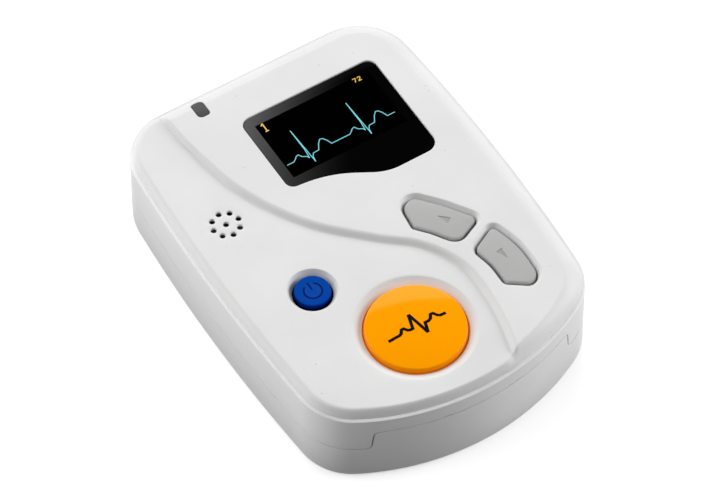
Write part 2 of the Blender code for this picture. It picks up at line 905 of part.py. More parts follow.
def make_event_button():
    """The large domed cap: rolled rim, flange under the cover, hollow with a middle post."""
    spot = place(event_place_shares)
    inner = event_radius - event_rim
    rim_top = plateau_height
    profile = [(0, rim_top + event_dome)]
    for share in (0.35, 0.65, 0.88):
        profile.append((inner * share, rim_top + event_dome * (1 - share ** 2)))
    profile += [
        (inner, rim_top),
        (event_radius - event_rim * 0.3, rim_top - event_rim_fall * 0.4),
        (event_radius, rim_top - event_rim_fall),
        (event_radius, flange_top),
        (event_radius + flange_width, flange_top),
        (event_radius + flange_width, button_bottom),
        (inner - event_shell, button_bottom),
        (inner - event_shell, rim_top - event_shell),
        (event_post_radius, rim_top - event_shell),
        (event_post_radius, button_bottom),
        (0, button_bottom),
    ]
    item = turned("event_button", profile, 40)
    item.location = (spot.x, spot.y, 0)
    return item


def make_power_button():
    """The small round cap with a rolled rim and a flange."""
    spot = place(power_place_shares)
    top = plateau_height + power_proud
    profile = [
        (0, top),
        (power_radius - power_rim, top),
        (power_radius - power_rim * 0.3, top - power_rim_fall * 0.3),
        (power_radius, top - power_rim_fall),
        (power_radius, flange_top),
        (power_radius + flange_width, flange_top),
        (power_radius + flange_width, button_bottom),
        (0, button_bottom),
    ]
    item = turned("power_button", profile, 32)
    item.location = (spot.x, spot.y, 0)
    return item


def make_key(name, outline, points_up, spot):
    """An arrow key with rounded top edge, flange and a sunk triangle."""
    top = deck_height - key_sunk
    rings = [
        (outline(flange_width), button_bottom),
        (outline(flange_width), flange_top),
        (outline(), flange_top),
        (outline(), top - key_round),
        (outline(-key_round * 0.3), top - key_round * 0.3),
        (outline(-key_round), top),
    ]
    item = loft(name, rings)
    reach = key_mark_size / 2 * points_up
    x, y = spot
    corners = [(x - reach, y - reach), (x + reach, y - reach), (x, y + reach)]
    mark = prism(f"{name}_mark", corners, top - key_mark_depth, top + overrun, cutters)
    return cut(item, mark)


def make_switches():
    """A switch under each button: square body on the board and a round plunger."""
    bodies = {}
    plungers = {}
    centres = {
        "event": place(event_place_shares),
        "power": place(power_place_shares),
        "up": place(up_key_place_shares),
        "down": place(down_key_place_shares),
    }
    for name, spot in centres.items():
        half = switch_width / 2
        low = (spot.x - half, spot.y - half, part_bottom)
        body = box(f"{name}_switch", low, (spot.x + half, spot.y + half, switch_top))
        rounded(body, chip_bevel)
        well = cylinder(
            f"{name}_switch_well",
            spot.x,
            spot.y,
            plunger_radius + fit,
            switch_top - plunger_sunk - travel - seat,
            switch_top + overrun,
            cutters,
            20,
        )
        bodies[name] = cut(body, well)
        plungers[name] = cylinder(
            f"{name}_switch_plunger",
            spot.x,
            spot.y,
            plunger_radius,
            switch_top - plunger_sunk,
            plunger_top,
            count=20,
        )
    return bodies, plungers


# Display and indicator

def make_lens():
    """The display lens, flush in its seat, with a softened upper edge."""
    rings = [
        (lens_outline(), lens_bottom),
        (lens_outline(), lens_top - lens_round),
        (lens_outline(-lens_round), lens_top),
    ]
    return loft("display_lens", rings)


def make_gasket():
    """The adhesive ring between the lens and its ledge."""
    low = lens_bottom - gasket_thickness - seat / 2
    item = prism("lens_gasket", lens_outline(-seat), low, lens_bottom - seat / 2)
    hole = rounded_outline(panel_box(), [gasket_width] * 4, panel_ledge_gap)
    return cut(item, prism("gasket_hole", hole, low - overrun, lens_bottom + overrun, cutters))


def make_panel():
    """The display panel."""
    return prism("display_panel", panel_box(), panel_bottom, panel_top)


def make_bracket():
    """The frame that holds the panel up from the board."""
    item = prism("display_bracket", panel_box(), part_bottom, panel_bottom - seat)
    item = cut(item, prism("bracket_hole", panel_box(-bracket_rim), 0, panel_top, cutters))
    corners = panel_box()
    middle = (corners[0][0] + corners[1][0]) / 2
    front = corners[0][1]
    low = (middle - flex_width / 2 - fit, front - overrun, panel_bottom - seat - 2 * flex_thickness - fit)
    high = (middle + flex_width / 2 + fit, front + bracket_rim + overrun, panel_top)
    return cut(item, box("flex_notch", low, high, cutters))


def make_flex():
    """The flat display tail, from under the panel down to the board in front of it."""
    corners = panel_box()
    middle = (corners[0][0] + corners[1][0]) / 2
    front = corners[0][1]
    upper = panel_bottom - seat
    bend = bracket_rim
    outline = [
        (front + bend, upper - flex_thickness),
        (front + bend, upper),
        (front - bend, upper),
        (front - bend, part_bottom + flex_thickness),
        (front - 2 * bend, part_bottom + flex_thickness),
        (front - 2 * bend, part_bottom),
        (front + flex_thickness - bend, part_bottom),
        (front + flex_thickness - bend, upper - flex_thickness),
    ]
    shape = bmesh.new()
    left = [shape.verts.new((middle - flex_width / 2, y, z)) for y, z in outline]
    right = [shape.verts.new((middle + flex_width / 2, y, z)) for y, z in outline]
    for i in range(len(outline)):
        j = (i + 1) % len(outline)
        shape.faces.new((left[i], left[j], right[j], right[i]))
    shape.faces.new(list(reversed(left)))
    shape.faces.new(right)
    bmesh.ops.recalc_face_normals(shape, faces=shape.faces)
    return add_object("display_flex", mesh_from("display_flex", shape), parts)


def make_light_pipe():
    """The smoky indicator window, cut to the crown's slope, on a block over the lamp."""
    spot = place(pipe_place_shares)
    slot = round_rectangle(spot.x, spot.y, pipe_width / 2, pipe_length / 2, pipe_corner)
    bottom = part_bottom + led_height + fit
    item = prism("indicator_light_pipe", slot, bottom, deck_height + overrun)
    rings = crown_rings(seat / 2)
    rings[0] = (case_outline(crown_inset), bottom - overrun)
    return keep(item, loft("pipe_top", rings, cutters))


def make_led():
    """The indicator lamp under the light pipe."""
    spot = place(pipe_place_shares)
    y = spot.y - pipe_length / 2 + led_length / 2
    low = (spot.x - led_width / 2, y - led_length / 2, part_bottom)
    high = (spot.x + led_width / 2, y + led_length / 2, part_bottom + led_height)
    return rounded(box("indicator_led", low, high), chip_bevel)


# Board and what it carries

def make_board():
    """The main board, following the case, with holes round the screw bosses."""
    item = prism("main_board", case_outline(board_inset), board_bottom, board_top)
    for number, (x, y) in enumerate(boss_places()):
        hole = cylinder(f"board_hole_{number}", x, y, front_boss_radius + fit, 0, ceiling_height, cutters)
        cut(item, hole)
    return item


def memory_place():
    """The memory's middle, in front of the display's tail."""
    front = panel_box()[0][1] - 2 * bracket_rim
    return Vector((memory_across_share * half_width, front - part_gap - memory_size[1] / 2))


def shield_place():
    """The shield's middle, beside the display panel and behind the sounder."""
    sounder_back = place(sounder_place_shares).y + sounder_radius
    left = panel_box()[0][0]
    return Vector((left - part_gap - shield_size[0] / 2, sounder_back + part_gap + shield_size[1] / 2))


def make_chip(name, size, spot):
    """A small rectangular part on the board."""
    low = (spot.x - size[0] / 2, spot.y - size[1] / 2, part_bottom)
    high = (spot.x + size[0] / 2, spot.y + size[1] / 2, part_bottom + size[2])
    return rounded(box(name, low, high), chip_bevel)


def make_sounder():
    """The round sounder under its nine holes."""
    spot = place(sounder_place_shares)
    top = ceiling_height - fit
    profile = [
        (0, top - sounder_port_depth),
        (sounder_port_radius, top - sounder_port_depth),
        (sounder_port_radius, top),
        (sounder_radius - chip_bevel, top),
        (sounder_radius, top - chip_bevel),
        (sounder_radius, part_bottom),
        (0, part_bottom),
    ]
    item = turned("sounder", profile, 28)
    item.location = (spot.x, spot.y, 0)
    return item


def make_backup_cell():
    """The small coin cell that keeps the clock running."""
    spot = place(backup_cell_place_shares)
    top = part_bottom + backup_cell_height
    return rounded(cylinder("clock_cell", spot.x, spot.y, backup_cell_radius, part_bottom, top), chip_bevel)


def make_lead_socket():
    """The patient lead socket in the back wall, and its pins on their base."""
    half = socket_width / 2
    back = half_length - socket_sunk
    front = back - socket_depth
    top = socket_bottom + socket_height
    shell = box("lead_socket", (-half, front, socket_bottom), (half, back, top))
    low = (socket_wall - half, back - socket_bore_depth, socket_bottom + socket_wall)
    high = (half - socket_wall, back + overrun, top - socket_wall)
    cut(shell, box("socket_bore", low, high, cutters))

    deep = back - socket_bore_depth + seat
    base_low = (low[0] + seat, deep, low[2] + seat)
    base_high = (high[0] - seat, deep + pin_base, high[2] - seat)
    pins = box("lead_socket_pins", base_low, base_high)
    middle = (base_low[2] + base_high[2]) / 2
    for column in range(pin_columns):
        x = (column - (pin_columns - 1) / 2) * pin_pitch
        for row in (-0.5, 0.5):
            z = middle + row * pin_row_pitch
            tool = cylinder(f"pin_{column}_{row}", 0, 0, pin_radius, -pin_base / 2, pin_length, count=6)
            tool.rotation_euler = (-math.pi / 2, 0, 0)
            tool.location = (x, deep + pin_base, z)
            join(pins, tool)
    return shell, pins


# Batteries

def cell_centres():
    """The two cells' middles across the bay."""
    middle = (partition_y - bay_half_y) / 2
    shift = cell_radius + cell_spacing / 2
    return (middle - shift, middle + shift)


def make_cells():
    """Two cells, nose to tail, each between its spring and its flat contact."""
    height = floor_wall + cell_radius + seat
    body = cell_length - cell_nub_length
    profile = [
        (0, cell_length),
        (cell_nub_radius, cell_length),
        (cell_nub_radius, body),
        (cell_radius - cell_edge, body),
        (cell_radius, body - cell_edge),
        (cell_radius, cell_edge),
        (cell_radius - cell_edge, 0),
        (0, 0),
    ]
    start = bay_half_x - contact_thickness - fit - seat - cell_length
    items = []
    for number, (y, side) in enumerate(zip(cell_centres(), (1, -1))):
        item = turned(f"battery_cell_{number + 1}", profile, 28)
        item.rotation_euler = (0, side * math.pi / 2, 0)
        item.location = (side * start, y, height)
        items.append(item)
    return items


def make_contacts():
    """The bridge at one end of the bay and the two separate plates at the other."""
    height = floor_wall + cell_radius + seat
    low_y, high_y = cell_centres()
    inner = bay_half_x - seat - contact_thickness
    outer = bay_half_x - seat
    low = height - contact_height / 2
    high = height + contact_height / 2
    half = contact_width / 2
    bridge = box("bridge_contact", (inner, low_y - half, low), (outer, high_y + half, high))
    minus = box("minus_contact", (-outer, low_y - half, low), (-inner, low_y + half, high))
    plus = box("plus_contact", (-outer, high_y - half, low), (-inner, high_y + half, high))
    return bridge, minus, plus


def make_springs():
    """A conical coil at the flat end of each cell."""
    height = floor_wall + cell_radius + seat
    base = bay_half_x - seat - contact_thickness - fit / 2
    reach = spring_length - spring_wire - fit
    count = int(spring_turns * spring_points_per_turn)
    items = []
    for number, (y, side) in enumerate(zip(cell_centres(), (-1, 1))):
        data = bpy.data.curves.new(f"battery_spring_{number + 1}", "CURVE")
        data.dimensions = "3D"
        data.bevel_depth = spring_wire / 2
        data.bevel_resolution = 1
        data.use_fill_caps = True
        coil = data.splines.new("POLY")
        coil.points.add(count)
        for k in range(count + 1):
            share = k / count
            turn = 2 * math.pi * spring_turns * share
            radius = spring_large_radius + (spring_small_radius - spring_large_radius) * share
            along = side * (base - spring_wire / 2 - reach * share)
            across = y + radius * math.cos(turn)
            coil.points[k].co = (along, across, height + radius * math.sin(turn), 1)
        items.append(add_object(f"battery_spring_{number + 1}", data, parts))
    return items


# Memory card

def make_card():
    """The memory card, pushed home, with one cut corner and its edge in the card bay."""
    half = card_width / 2
    start = 0
    corners = [
        (start, card_y - half),
        (card_end - card_corner, card_y - half),
        (card_end, card_y - half + card_corner),
        (card_end, card_y + half),
        (start, card_y + half),
    ]
    return rounded(prism("memory_card", corners, card_bottom, card_top), chip_bevel)


def make_card_socket():
    """The metal card socket under the board."""
    half = card_width / 2 + fit
    start = card_bay_end + card_bay_wall + fit
    low = (start, card_y - half - card_socket_shell, card_bottom - fit - card_socket_shell)
    high = (card_end + fit + card_socket_shell, card_y + half + card_socket_shell, bay_top)
    item = box("card_socket", low, high)
    slot_low = (start - overrun, card_y - half, card_bottom - fit)
    slot_high = (card_end + fit, card_y + half, card_top + fit)
    return cut(item, box("card_socket_slot", slot_low, slot_high, cutters))


def main():
    """Builds every piece and gives each its material."""
    for item in list(bpy.data.objects):
        bpy.data.objects.remove(item, do_unlink=True)
    for home in (parts, cutters):
        bpy.context.scene.collection.children.link(home)

    white = (0.80, 0.80, 0.80)
    for item in (make_front_cover(), make_rear_cover(), make_battery_door()):
        paint(item, finish(f"{item.name}_abs", white, 0.42))
    for item in make_screws():
        paint(item, finish(f"{item.name}_steel", (0.55, 0.55, 0.57), 0.35, 1))

    paint(make_event_button(), finish("orange_gloss", (1.0, 0.37, 0.0), 0.12))
    paint(make_power_button(), finish("blue_satin", (0.0, 0.07, 0.35), 0.35))
    middle = place(up_key_place_shares)
    (up_mark,) = placed_corners([up_key_mark_shares], middle, up_key_width, up_key_length)
    up_key = make_key("up_key", up_key_outline, 1, up_mark)
    middle = place(down_key_place_shares)
    (down_mark,) = placed_corners([down_key_mark_shares], middle, down_key_width, down_key_length)
    down_key = make_key("down_key", down_key_outline, -1, down_mark)
    for item in (up_key, down_key):
        paint(item, finish(f"{item.name}_grey", (0.45, 0.46, 0.45), 0.5))
    bodies, plungers = make_switches()
    for item in bodies.values():
        paint(item, finish(f"{item.name}_nylon", (0.03, 0.03, 0.03), 0.6))
    for item in plungers.values():
        paint(item, finish(f"{item.name}_nylon", (0.6, 0.58, 0.5), 0.5))

    paint(make_lens(), finish("lens_black", (0.01, 0.01, 0.01), 0.05))
    paint(make_gasket(), finish("gasket_foam", (0.03, 0.03, 0.03), 0.8))
    paint(make_panel(), finish("panel_glass", (0.02, 0.02, 0.03), 0.1))
    paint(make_bracket(), finish("bracket_abs", (0.1, 0.1, 0.1), 0.6))
    paint(make_flex(), finish("flex_film", (0.45, 0.22, 0.05), 0.4))
    paint(make_light_pipe(), finish("smoky_clear", (0.09, 0.09, 0.09), 0.2))
    paint(make_led(), finish("lamp_clear", (0.7, 0.75, 0.6), 0.2))

    paint(make_board(), finish("board_green", (0.02, 0.16, 0.06), 0.4))
    for name, size, spot in (
        ("processor_chip", processor_size, place(processor_place_shares)),
        ("memory_chip", memory_size, memory_place()),
    ):
        paint(make_chip(name, size, spot), finish(f"{name}_black", (0.02, 0.02, 0.02), 0.5))
    for name, size, spot in (
        ("clock_crystal", crystal_size, place(crystal_place_shares)),
        ("input_shield", shield_size, shield_place()),
    ):
        paint(make_chip(name, size, spot), finish(f"{name}_tin", (0.66, 0.66, 0.65), 0.35, 1))
    paint(make_sounder(), finish("sounder_black", (0.02, 0.02, 0.02), 0.5))
    paint(make_backup_cell(), finish("clock_cell_steel", (0.6, 0.6, 0.6), 0.3, 1))
    socket, pins = make_lead_socket()
    paint(socket, finish("socket_black", (0.03, 0.03, 0.03), 0.5))
    paint(pins, finish("pin_gold", (0.8, 0.6, 0.25), 0.3, 1))

    for item in make_cells():
        paint(item, finish(f"{item.name}_sleeve", (0.05, 0.12, 0.05), 0.3))
    for item in (*make_contacts(), *make_springs()):
        paint(item, finish(f"{item.name}_nickel", (0.7, 0.68, 0.62), 0.3, 1))
    paint(make_card(), finish("card_black", (0.03, 0.03, 0.04), 0.45))
    paint(make_card_socket(), finish("card_socket_tin", (0.66, 0.66, 0.65), 0.35, 1))


main()
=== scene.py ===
import math

import bmesh
import bpy
import numpy as np
from mathutils import Matrix, Vector
from mathutils.geometry import delaunay_2d_cdt


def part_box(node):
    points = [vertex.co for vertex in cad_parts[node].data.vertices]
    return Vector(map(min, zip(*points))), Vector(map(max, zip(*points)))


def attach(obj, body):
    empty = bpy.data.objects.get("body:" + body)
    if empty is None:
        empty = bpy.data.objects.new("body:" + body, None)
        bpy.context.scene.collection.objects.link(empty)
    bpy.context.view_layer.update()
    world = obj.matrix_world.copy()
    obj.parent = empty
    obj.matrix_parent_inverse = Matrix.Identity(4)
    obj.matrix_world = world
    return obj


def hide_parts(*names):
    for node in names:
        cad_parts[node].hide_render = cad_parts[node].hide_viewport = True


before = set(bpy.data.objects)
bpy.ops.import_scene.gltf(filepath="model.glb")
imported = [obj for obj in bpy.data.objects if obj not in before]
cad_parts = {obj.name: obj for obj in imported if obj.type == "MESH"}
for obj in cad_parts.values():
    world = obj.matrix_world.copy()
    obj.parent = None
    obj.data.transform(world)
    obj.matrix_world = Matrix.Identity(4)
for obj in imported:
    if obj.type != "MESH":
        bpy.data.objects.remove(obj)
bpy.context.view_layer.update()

mm = 0.001

# Case: its size comes from the front cover in the frame
half_width, half_length, deck_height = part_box("front_cover")[1]
plateau_height = deck_height - 0.98 * mm
lip_height = plateau_height - 2.2 * mm
ceiling_height = plateau_height - 1.8 * mm
ceiling_round = 1.3 * mm
widest_place = 2.68 * mm
side_arc_radius = 478.65 * mm
front_arc_radius = 63.7 * mm
back_corner_radius = 14.1 * mm
front_corner_radius = 14.3 * mm
wall = 2 * mm
floor_wall = 2 * mm
foot_inset = 1.2 * mm
foot_rise = 2.4 * mm
fit = 0.3 * mm
overrun = 2 * mm

# Rim: lip, groove and crown. It lies lower and is narrower at the front
lip_round = 0.25 * mm
lip_flat = (0.55 * mm, 0.84 * mm)
crown_inset = 0.85 * mm
plateau_crown_width = 1.75 * mm
deck_crown_width = 3.9 * mm
plateau_crown_power = 1.85
deck_crown_power = 1.28
crown_blend = (-3 * mm, 1 * mm)
front_drop = 0.65 * mm
front_narrowing = 0.4
front_start = 38 * mm
front_reach = 12 * mm
hold = 0.15 * mm
rim_end = 2.6 * mm
crown_rings = 16
crown_gathering = 2.4
crown_loops = (2.8, 3.05, 3.35, 3.7, 4.05, 4.4, 4.7, 4.95)

# Seam between the covers, with a tongue at the front
seam_height = 11 * mm
seam_gap = 0.26 * mm
seam_edge = 0.13 * mm
pry_notches = (-9.4 * mm, 7.5 * mm, 9.4 * mm)
notch_half_width = 0.5 * mm
notch_rise = 0.3 * mm
seam_lip_inset = 1.2 * mm
seam_lip_rise = 1.1 * mm
tongue_height = seam_height + 6.2 * mm
tongue_half_width = 26.9 * mm
tongue_slant = 0.65 * mm
tongue_corner = 1.3 * mm
tongue_end = 30 * mm
mouth_margin = 1.6 * mm
mouth_run = 1.8 * mm

# Curved step: its middle line, as shares of the half width and half length
step_half_width = 1.04 * mm
step_dip = 0.28 * mm
step_dip_reach = 5 * mm
step_skew = 1.45
step_taper = 0.38
step_taper_start = 16 * mm
step_taper_reach = 24 * mm
step_sides = (-1.3, -1.1, -0.95, -0.8, -0.55, -0.3, 0, 0.3, 0.6, 0.8, 0.95, 1.1, 1.3)
step_shares = [
    (-0.640, 1.26), (-0.625, 1.10), (-0.612, 0.96), (-0.590, 0.7415), (-0.501, 0.4232),
    (-0.292, 0.1247), (-0.0138, -0.094), (0.2087, -0.2412), (0.3304, -0.4034), (0.355, -0.550),
    (0.330, -0.750), (0.275, -0.920), (0.200, -1.100), (0.110, -1.260),
]

# Round buttons
event_radius = 12.12 * mm
event_dish_width = 2.3 * mm
event_dish_depth = 1.2 * mm
power_radius = 4.45 * mm
power_dish_width = 1.2 * mm
power_dish_depth = 1.75 * mm
power_gap = 0.4 * mm
power_shift = (0.39 * mm, 0.64 * mm)
flange_width = 1.23 * mm
flange_height = 0.8 * mm

# Arrow keys: the middle is a share of the case, corners and radii are shares of the size
key_sunk = 1.35 * mm
key_flare = 0.9 * mm
key_flange = 0.55 * mm
key_gap = 0.42 * mm
mark_length = 3.1 * mm
mark_width = 1.7 * mm
up_key = {
    "middle": (0.4082, -0.1597),
    "size": (13.17 * mm, 15.2 * mm),
    "corners": [
        (-0.007, -1.096), (1.093, -0.654), (0.355, 0.295), (-0.401, 1.072),
        (-0.902, 0.879), (-1.007, 0.099), (-0.564, -0.355),
    ],
    "radii": [0.204, 0.096, 1.055, 0.188, 0.18, 0.075, 1.268],
    "mark": (16.5 * mm, -9.6 * mm),
    "mark_turn": math.radians(123),
}
down_key = {
    "middle": (0.5752, -0.5008),
    "size": (8.84 * mm, 17.59 * mm),
    "corners": [
        (-0.805, -0.630), (0.336, -1.045), (0.910, -0.867), (1.055, 0.179),
        (0.513, 1.058), (-1.061, 0.647), (-0.768, 0.015),
    ],
    "radii": [0.149, 0.222, 0.343, 3.0, 0.129, 0.201, 1.871],
    "mark": (22.6 * mm, -25.1 * mm),
    "mark_turn": math.radians(282),
}

# Display
lens = {
    "middle": (0.2192, 0.4486),
    "size": (36.5 * mm, 30.7 * mm),
    "corners": [
        (-1.000, -0.482), (-0.453, -0.543), (0.214, -0.997), (1.000, -0.990),
        (1.000, 1.000), (-1.000, 1.000),
    ],
    "radii": [0.060, 0.813, 0.352, 0.087, 0.068, 0.068],
}
lens_gap = 0.08 * mm
image_low = (-7.15 * mm, 18.84 * mm)
image_high = (24.2 * mm, 36.4 * mm)
ink_rise = 0.012 * mm

# Indicator and sound holes
pipe_low = (-17.0 * mm, 45.1 * mm)
pipe_high = (-13.95 * mm, 50.05 * mm)
pipe_radii = (1.1 * mm, 0.75 * mm, 1.2 * mm, 1.2 * mm)
sounder_place = (-0.7, 0.3025)
sound_hole_radius = 0.73 * mm
sound_wall = 0.75 * mm
sound_ring_radius = 3.36 * mm
sound_ring_count = 8
hole_round = 0.15 * mm

# Battery block: the door's recess in it, and its bays
door_half_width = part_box("battery_door")[1].x
door_half_length = 31.05 * mm
recess_x = door_half_width + fit
recess_y = door_half_length + fit
block_x = recess_x + 1 * mm
block_y = recess_y + 1 * mm
bay_x = recess_x - 2 * mm
bay_y = recess_y - 2 * mm
bay_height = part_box("memory_card")[1].z + 0.4 * mm
bay_top = bay_height + 1 * mm
partition = 1.35 * mm
card_side = partition + 1.5 * mm
door_corner = 3 * mm
tab_places = (-0.62 * recess_x, 0.62 * recess_x)
tab_half_width = 4 * mm
snap_half_width = 4.5 * mm

# Screws
screws = [f"case_screw_{number}" for number in range(1, 5)]
screw_hole_radius = 1.6 * mm
screw_well_radius = 2.8 * mm
screw_well_depth = 3.2 * mm
front_boss_radius = 3.2 * mm
rear_boss_radius = 4.2 * mm


# Outlines

def place(shares):
    """A point given as shares of the case's half width and half length."""
    return Vector((shares[0] * half_width, shares[1] * half_length))


def middle_of(node):
    """The middle of a CAD node, seen from above."""
    low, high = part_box(node)
    return Vector(((low.x + high.x) / 2, (low.y + high.y) / 2))


def corner_centres():
    """Centres of the side arc, the front arc and the right-hand corner arcs."""
    side = Vector((half_width - side_arc_radius, widest_place))
    front = Vector((0, front_arc_radius - half_length))
    back_y = half_length - back_corner_radius
    back_run = side_arc_radius - back_corner_radius
    back_x = side.x + math.sqrt(back_run ** 2 - (back_y - side.y) ** 2)
    reach_side = side_arc_radius - front_corner_radius
    reach_front = front_arc_radius - front_corner_radius
    gap = front - side
    along = (reach_side ** 2 - reach_front ** 2 + gap.length_squared) / (2 * gap.length)
    off = math.sqrt(reach_side ** 2 - along ** 2)
    unit = gap.normalized()
    corner = side + unit * along + Vector((unit.y, -unit.x)) * off
    return side, front, Vector((back_x, back_y)), corner


def angle_from(centre, point):
    """The direction of a point, seen from a centre."""
    return math.atan2(point.y - centre.y, point.x - centre.x)


side_centre, front_centre, back_corner, front_corner = corner_centres()
front_turn = angle_from(front_centre, front_corner)
side_start = angle_from(side_centre, front_corner)
side_end = angle_from(side_centre, back_corner)
front_arc_end = front_centre.x + front_arc_radius * math.cos(front_turn)
event_middle = middle_of("event_button")
power_middle = middle_of("power_button") + Vector(power_shift)


def polar(centre, radius, angle):
    """A point on a circle."""
    return Vector((centre[0] + radius * math.cos(angle), centre[1] + radius * math.sin(angle)))


def arc(centre, radius, start, end, steps):
    """Points on an arc from angle start to angle end, both included."""
    return [polar(centre, radius, start + (end - start) * k / steps) for k in range(steps + 1)]


def circle(middle, radius, count):
    """A circle, counter-clockwise."""
    return arc(middle, radius, 0, 2 * math.pi, count)[:-1]


def between(start, end, steps):
    """Even points from start towards end, without the end."""
    return [start.lerp(end, k / steps) for k in range(steps)]


def rounded_corner(before, here, after, radius, grow, steps):
    """One round corner of a path, moved to the path's right by grow."""
    into = (here - before).normalized()
    out = (after - here).normalized()
    into_normal = Vector((into.y, -into.x))
    out_normal = Vector((out.y, -out.x))
    tip = here + (into_normal + out_normal) * grow / (1 + into_normal.dot(out_normal))
    turn = math.atan2(into.x * out.y - into.y * out.x, into.dot(out))
    hand = math.copysign(1, turn)
    size = radius + hand * grow
    run = size * math.tan(abs(turn) / 2)
    centre = tip - into * run - into_normal * size * hand
    first = math.atan2(into_normal.y * hand, into_normal.x * hand)
    return arc(centre, size, first, first + turn, steps)


def rounded_outline(corners, radii, grow=0, steps=8):
    """A counter-clockwise polygon with round corners, moved outwards by grow."""
    corners = [Vector(corner) for corner in corners]
    points = []
    for i, radius in enumerate(radii):
        after = corners[(i + 1) % len(corners)]
        points += rounded_corner(corners[i - 1], corners[i], after, radius, grow, steps)
    return points


def divided_path(corners, radius, lift, steps, counts):
    """An open path with round corners, moved to its left by lift, with its straight runs divided."""
    corners = [Vector(corner) for corner in corners]
    into = (corners[1] - corners[0]).normalized()
    out = (corners[-1] - corners[-2]).normalized()
    start = corners[0] + Vector((-into.y, into.x)) * lift
    end = corners[-1] + Vector((-out.y, out.x)) * lift
    points = []
    for before, here, after, count in zip(corners, corners[1:], corners[2:], counts):
        turn = rounded_corner(before, here, after, radius, -lift, steps)
        points += between(start, turn[0], count) + turn[:-1]
        start = turn[-1]
    return points + between(start, end, counts[-1]) + [end]


def spread(points, largest, closed=False):
    """The same path with its long runs divided evenly."""
    filled = []
    ends = points + points[:1] if closed else points
    for start, end in zip(ends, ends[1:]):
        filled += between(start, end, max(1, math.ceil((end - start).length / largest - 0.001)))
    return filled if closed else filled + [points[-1]]


def form_outline(form, grow=0, steps=8):
    """The outline of a key or the lens."""
    middle = place(form["middle"])
    width, length = form["size"]
    corners = [(middle.x + x * width / 2, middle.y + y * length / 2) for x, y in form["corners"]]
    return rounded_outline(corners, [share * width for share in form["radii"]], grow, steps)


def round_rectangle(low, high, radius, grow=0, steps=6):
    """A rectangle between two corners, with one radius or four."""
    corners = [(low[0], low[1]), (high[0], low[1]), (high[0], high[1]), (low[0], high[1])]
    return rounded_outline(corners, np.broadcast_to(radius, 4), grow, steps)


def pipe_outline(grow=0):
    """The indicator window's outline."""
    return round_rectangle(pipe_low, pipe_high, pipe_radii, grow)


def sound_holes():
    """The middle hole and the ring of holes over the sounder."""
    middle = place(sounder_place)
    return [middle] + circle(middle, sound_ring_radius, sound_ring_count)


def step_line(side=0):
    """The curved step's line, moved across it by side half widths."""
    knots = [place(share) for share in step_shares]
    line = []
    for before, start, end, after in zip(knots, knots[1:], knots[2:], knots[3:]):
        bend = 2 * before - 5 * start + 4 * end - after
        twist = 3 * start - before - 3 * end + after
        for t in (step / 16 for step in range(16)):
            line.append((2 * start + (end - before) * t + bend * t ** 2 + twist * t ** 3) / 2)
    line.append(knots[-2])
    moved = []
    for k, point in enumerate(line):
        run = line[min(k + 1, len(line) - 1)] - line[max(k - 1, 0)]
        moved.append(point + Vector((-run.y, run.x)).normalized() * side * step_half_width)
    return moved


# Rings round the case

def tongue_path(lift):
    """The seam at the right half of the front: along the tongue's top, down its end, and on."""
    corners = [
        (0, tongue_height),
        (tongue_half_width - tongue_slant, tongue_height),
        (tongue_half_width, seam_height),
        (tongue_end, seam_height),
    ]
    return divided_path(corners, tongue_corner, lift, 8, (28, 5, 4))


def mouth_path(lift, mouth_top):
    """The seam at the right half of the back, over the socket's mouth where it has one."""
    half_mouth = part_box("lead_socket")[1].x + fit
    if mouth_top is None:
        beside = half_mouth + mouth_margin
        clear = beside + mouth_run
        spots = []
        for low, high, steps in ((0, beside, 8), (beside, clear, 12), (clear, back_corner.x, 8)):
            spots += [(low + (high - low) * k / steps, seam_height + lift) for k in range(steps)]
        return [(back_corner.x, seam_height + lift)] + spots[::-1]
    foot = half_mouth + fit / 20
    corners = [(0, mouth_top), (half_mouth, mouth_top), (foot, seam_height), (back_corner.x, seam_height)]
    return divided_path(corners, fit, lift, 4, (8, 4, 8))[::-1]


def case_stations(lift, mouth_top):
    """Points, outward normals and seam heights round the case's right half, from the front."""
    stations = []
    for x, z in tongue_path(lift):
        centre, radius = front_centre, front_arc_radius
        if x > front_arc_end:
            centre, radius = front_corner, front_corner_radius
        turn = -math.acos((x - centre.x) / radius)
        stations.append((polar(centre, radius, turn), polar((0, 0), 1, turn), z))
    corner_start = -math.acos((tongue_end - front_corner.x) / front_corner_radius)
    for centre, radius, start, end, steps in (
        (front_corner, front_corner_radius, corner_start, side_start, 26),
        (side_centre, side_arc_radius, side_start, 0, 26),
        (side_centre, side_arc_radius, 0, side_end, 22),
        (back_corner, back_corner_radius, side_end, math.pi / 2, 26),
    ):
        points = arc(centre, radius, start, end, steps)[1:]
        normals = arc((0, 0), 1, start, end, steps)[1:]
        stations += [(p, n, seam_height + lift) for p, n in zip(points, normals)]
    stations.pop()
    back = Vector((0, 1))
    return stations + [(Vector((x, half_length)), back, z) for x, z in mouth_path(lift, mouth_top)]


def case_ring(inset, lift=None, height=0, mouth_top=None):
    """The case's outline moved inwards, at a height, or along the seam where lift is given."""
    right = []
    for point, normal, z in case_stations(lift or 0, mouth_top):
        right.append(Vector((*(point - normal * inset), height if lift is None else z)))
    left = [Vector((-p.x, p.y, p.z)) for p in reversed(right)]
    return right + left[1:-1]


def flat(ring):
    """A ring seen from above."""
    return [point.to_2d() for point in ring]


def at_height(path, height):
    """A flat path at a height."""
    return [Vector((p[0], p[1], height)) for p in path]


def draped(path, surface):
    """A path laid on a surface, which is a function that gives heights."""
    x, y = np.array([(p.x, p.y) for p in path]).T
    return [Vector((p.x, p.y, z)) for p, z in zip(path, surface(x, y))]


def level(height):
    """A level surface."""
    return lambda x, y: np.full(len(x), height)


# Heights of the top surface

def ease(share):
    """A share held between 0 and 1, with a soft start and a soft end."""
    share = np.clip(share, 0, 1)
    return share ** 2 * (3 - 2 * share)


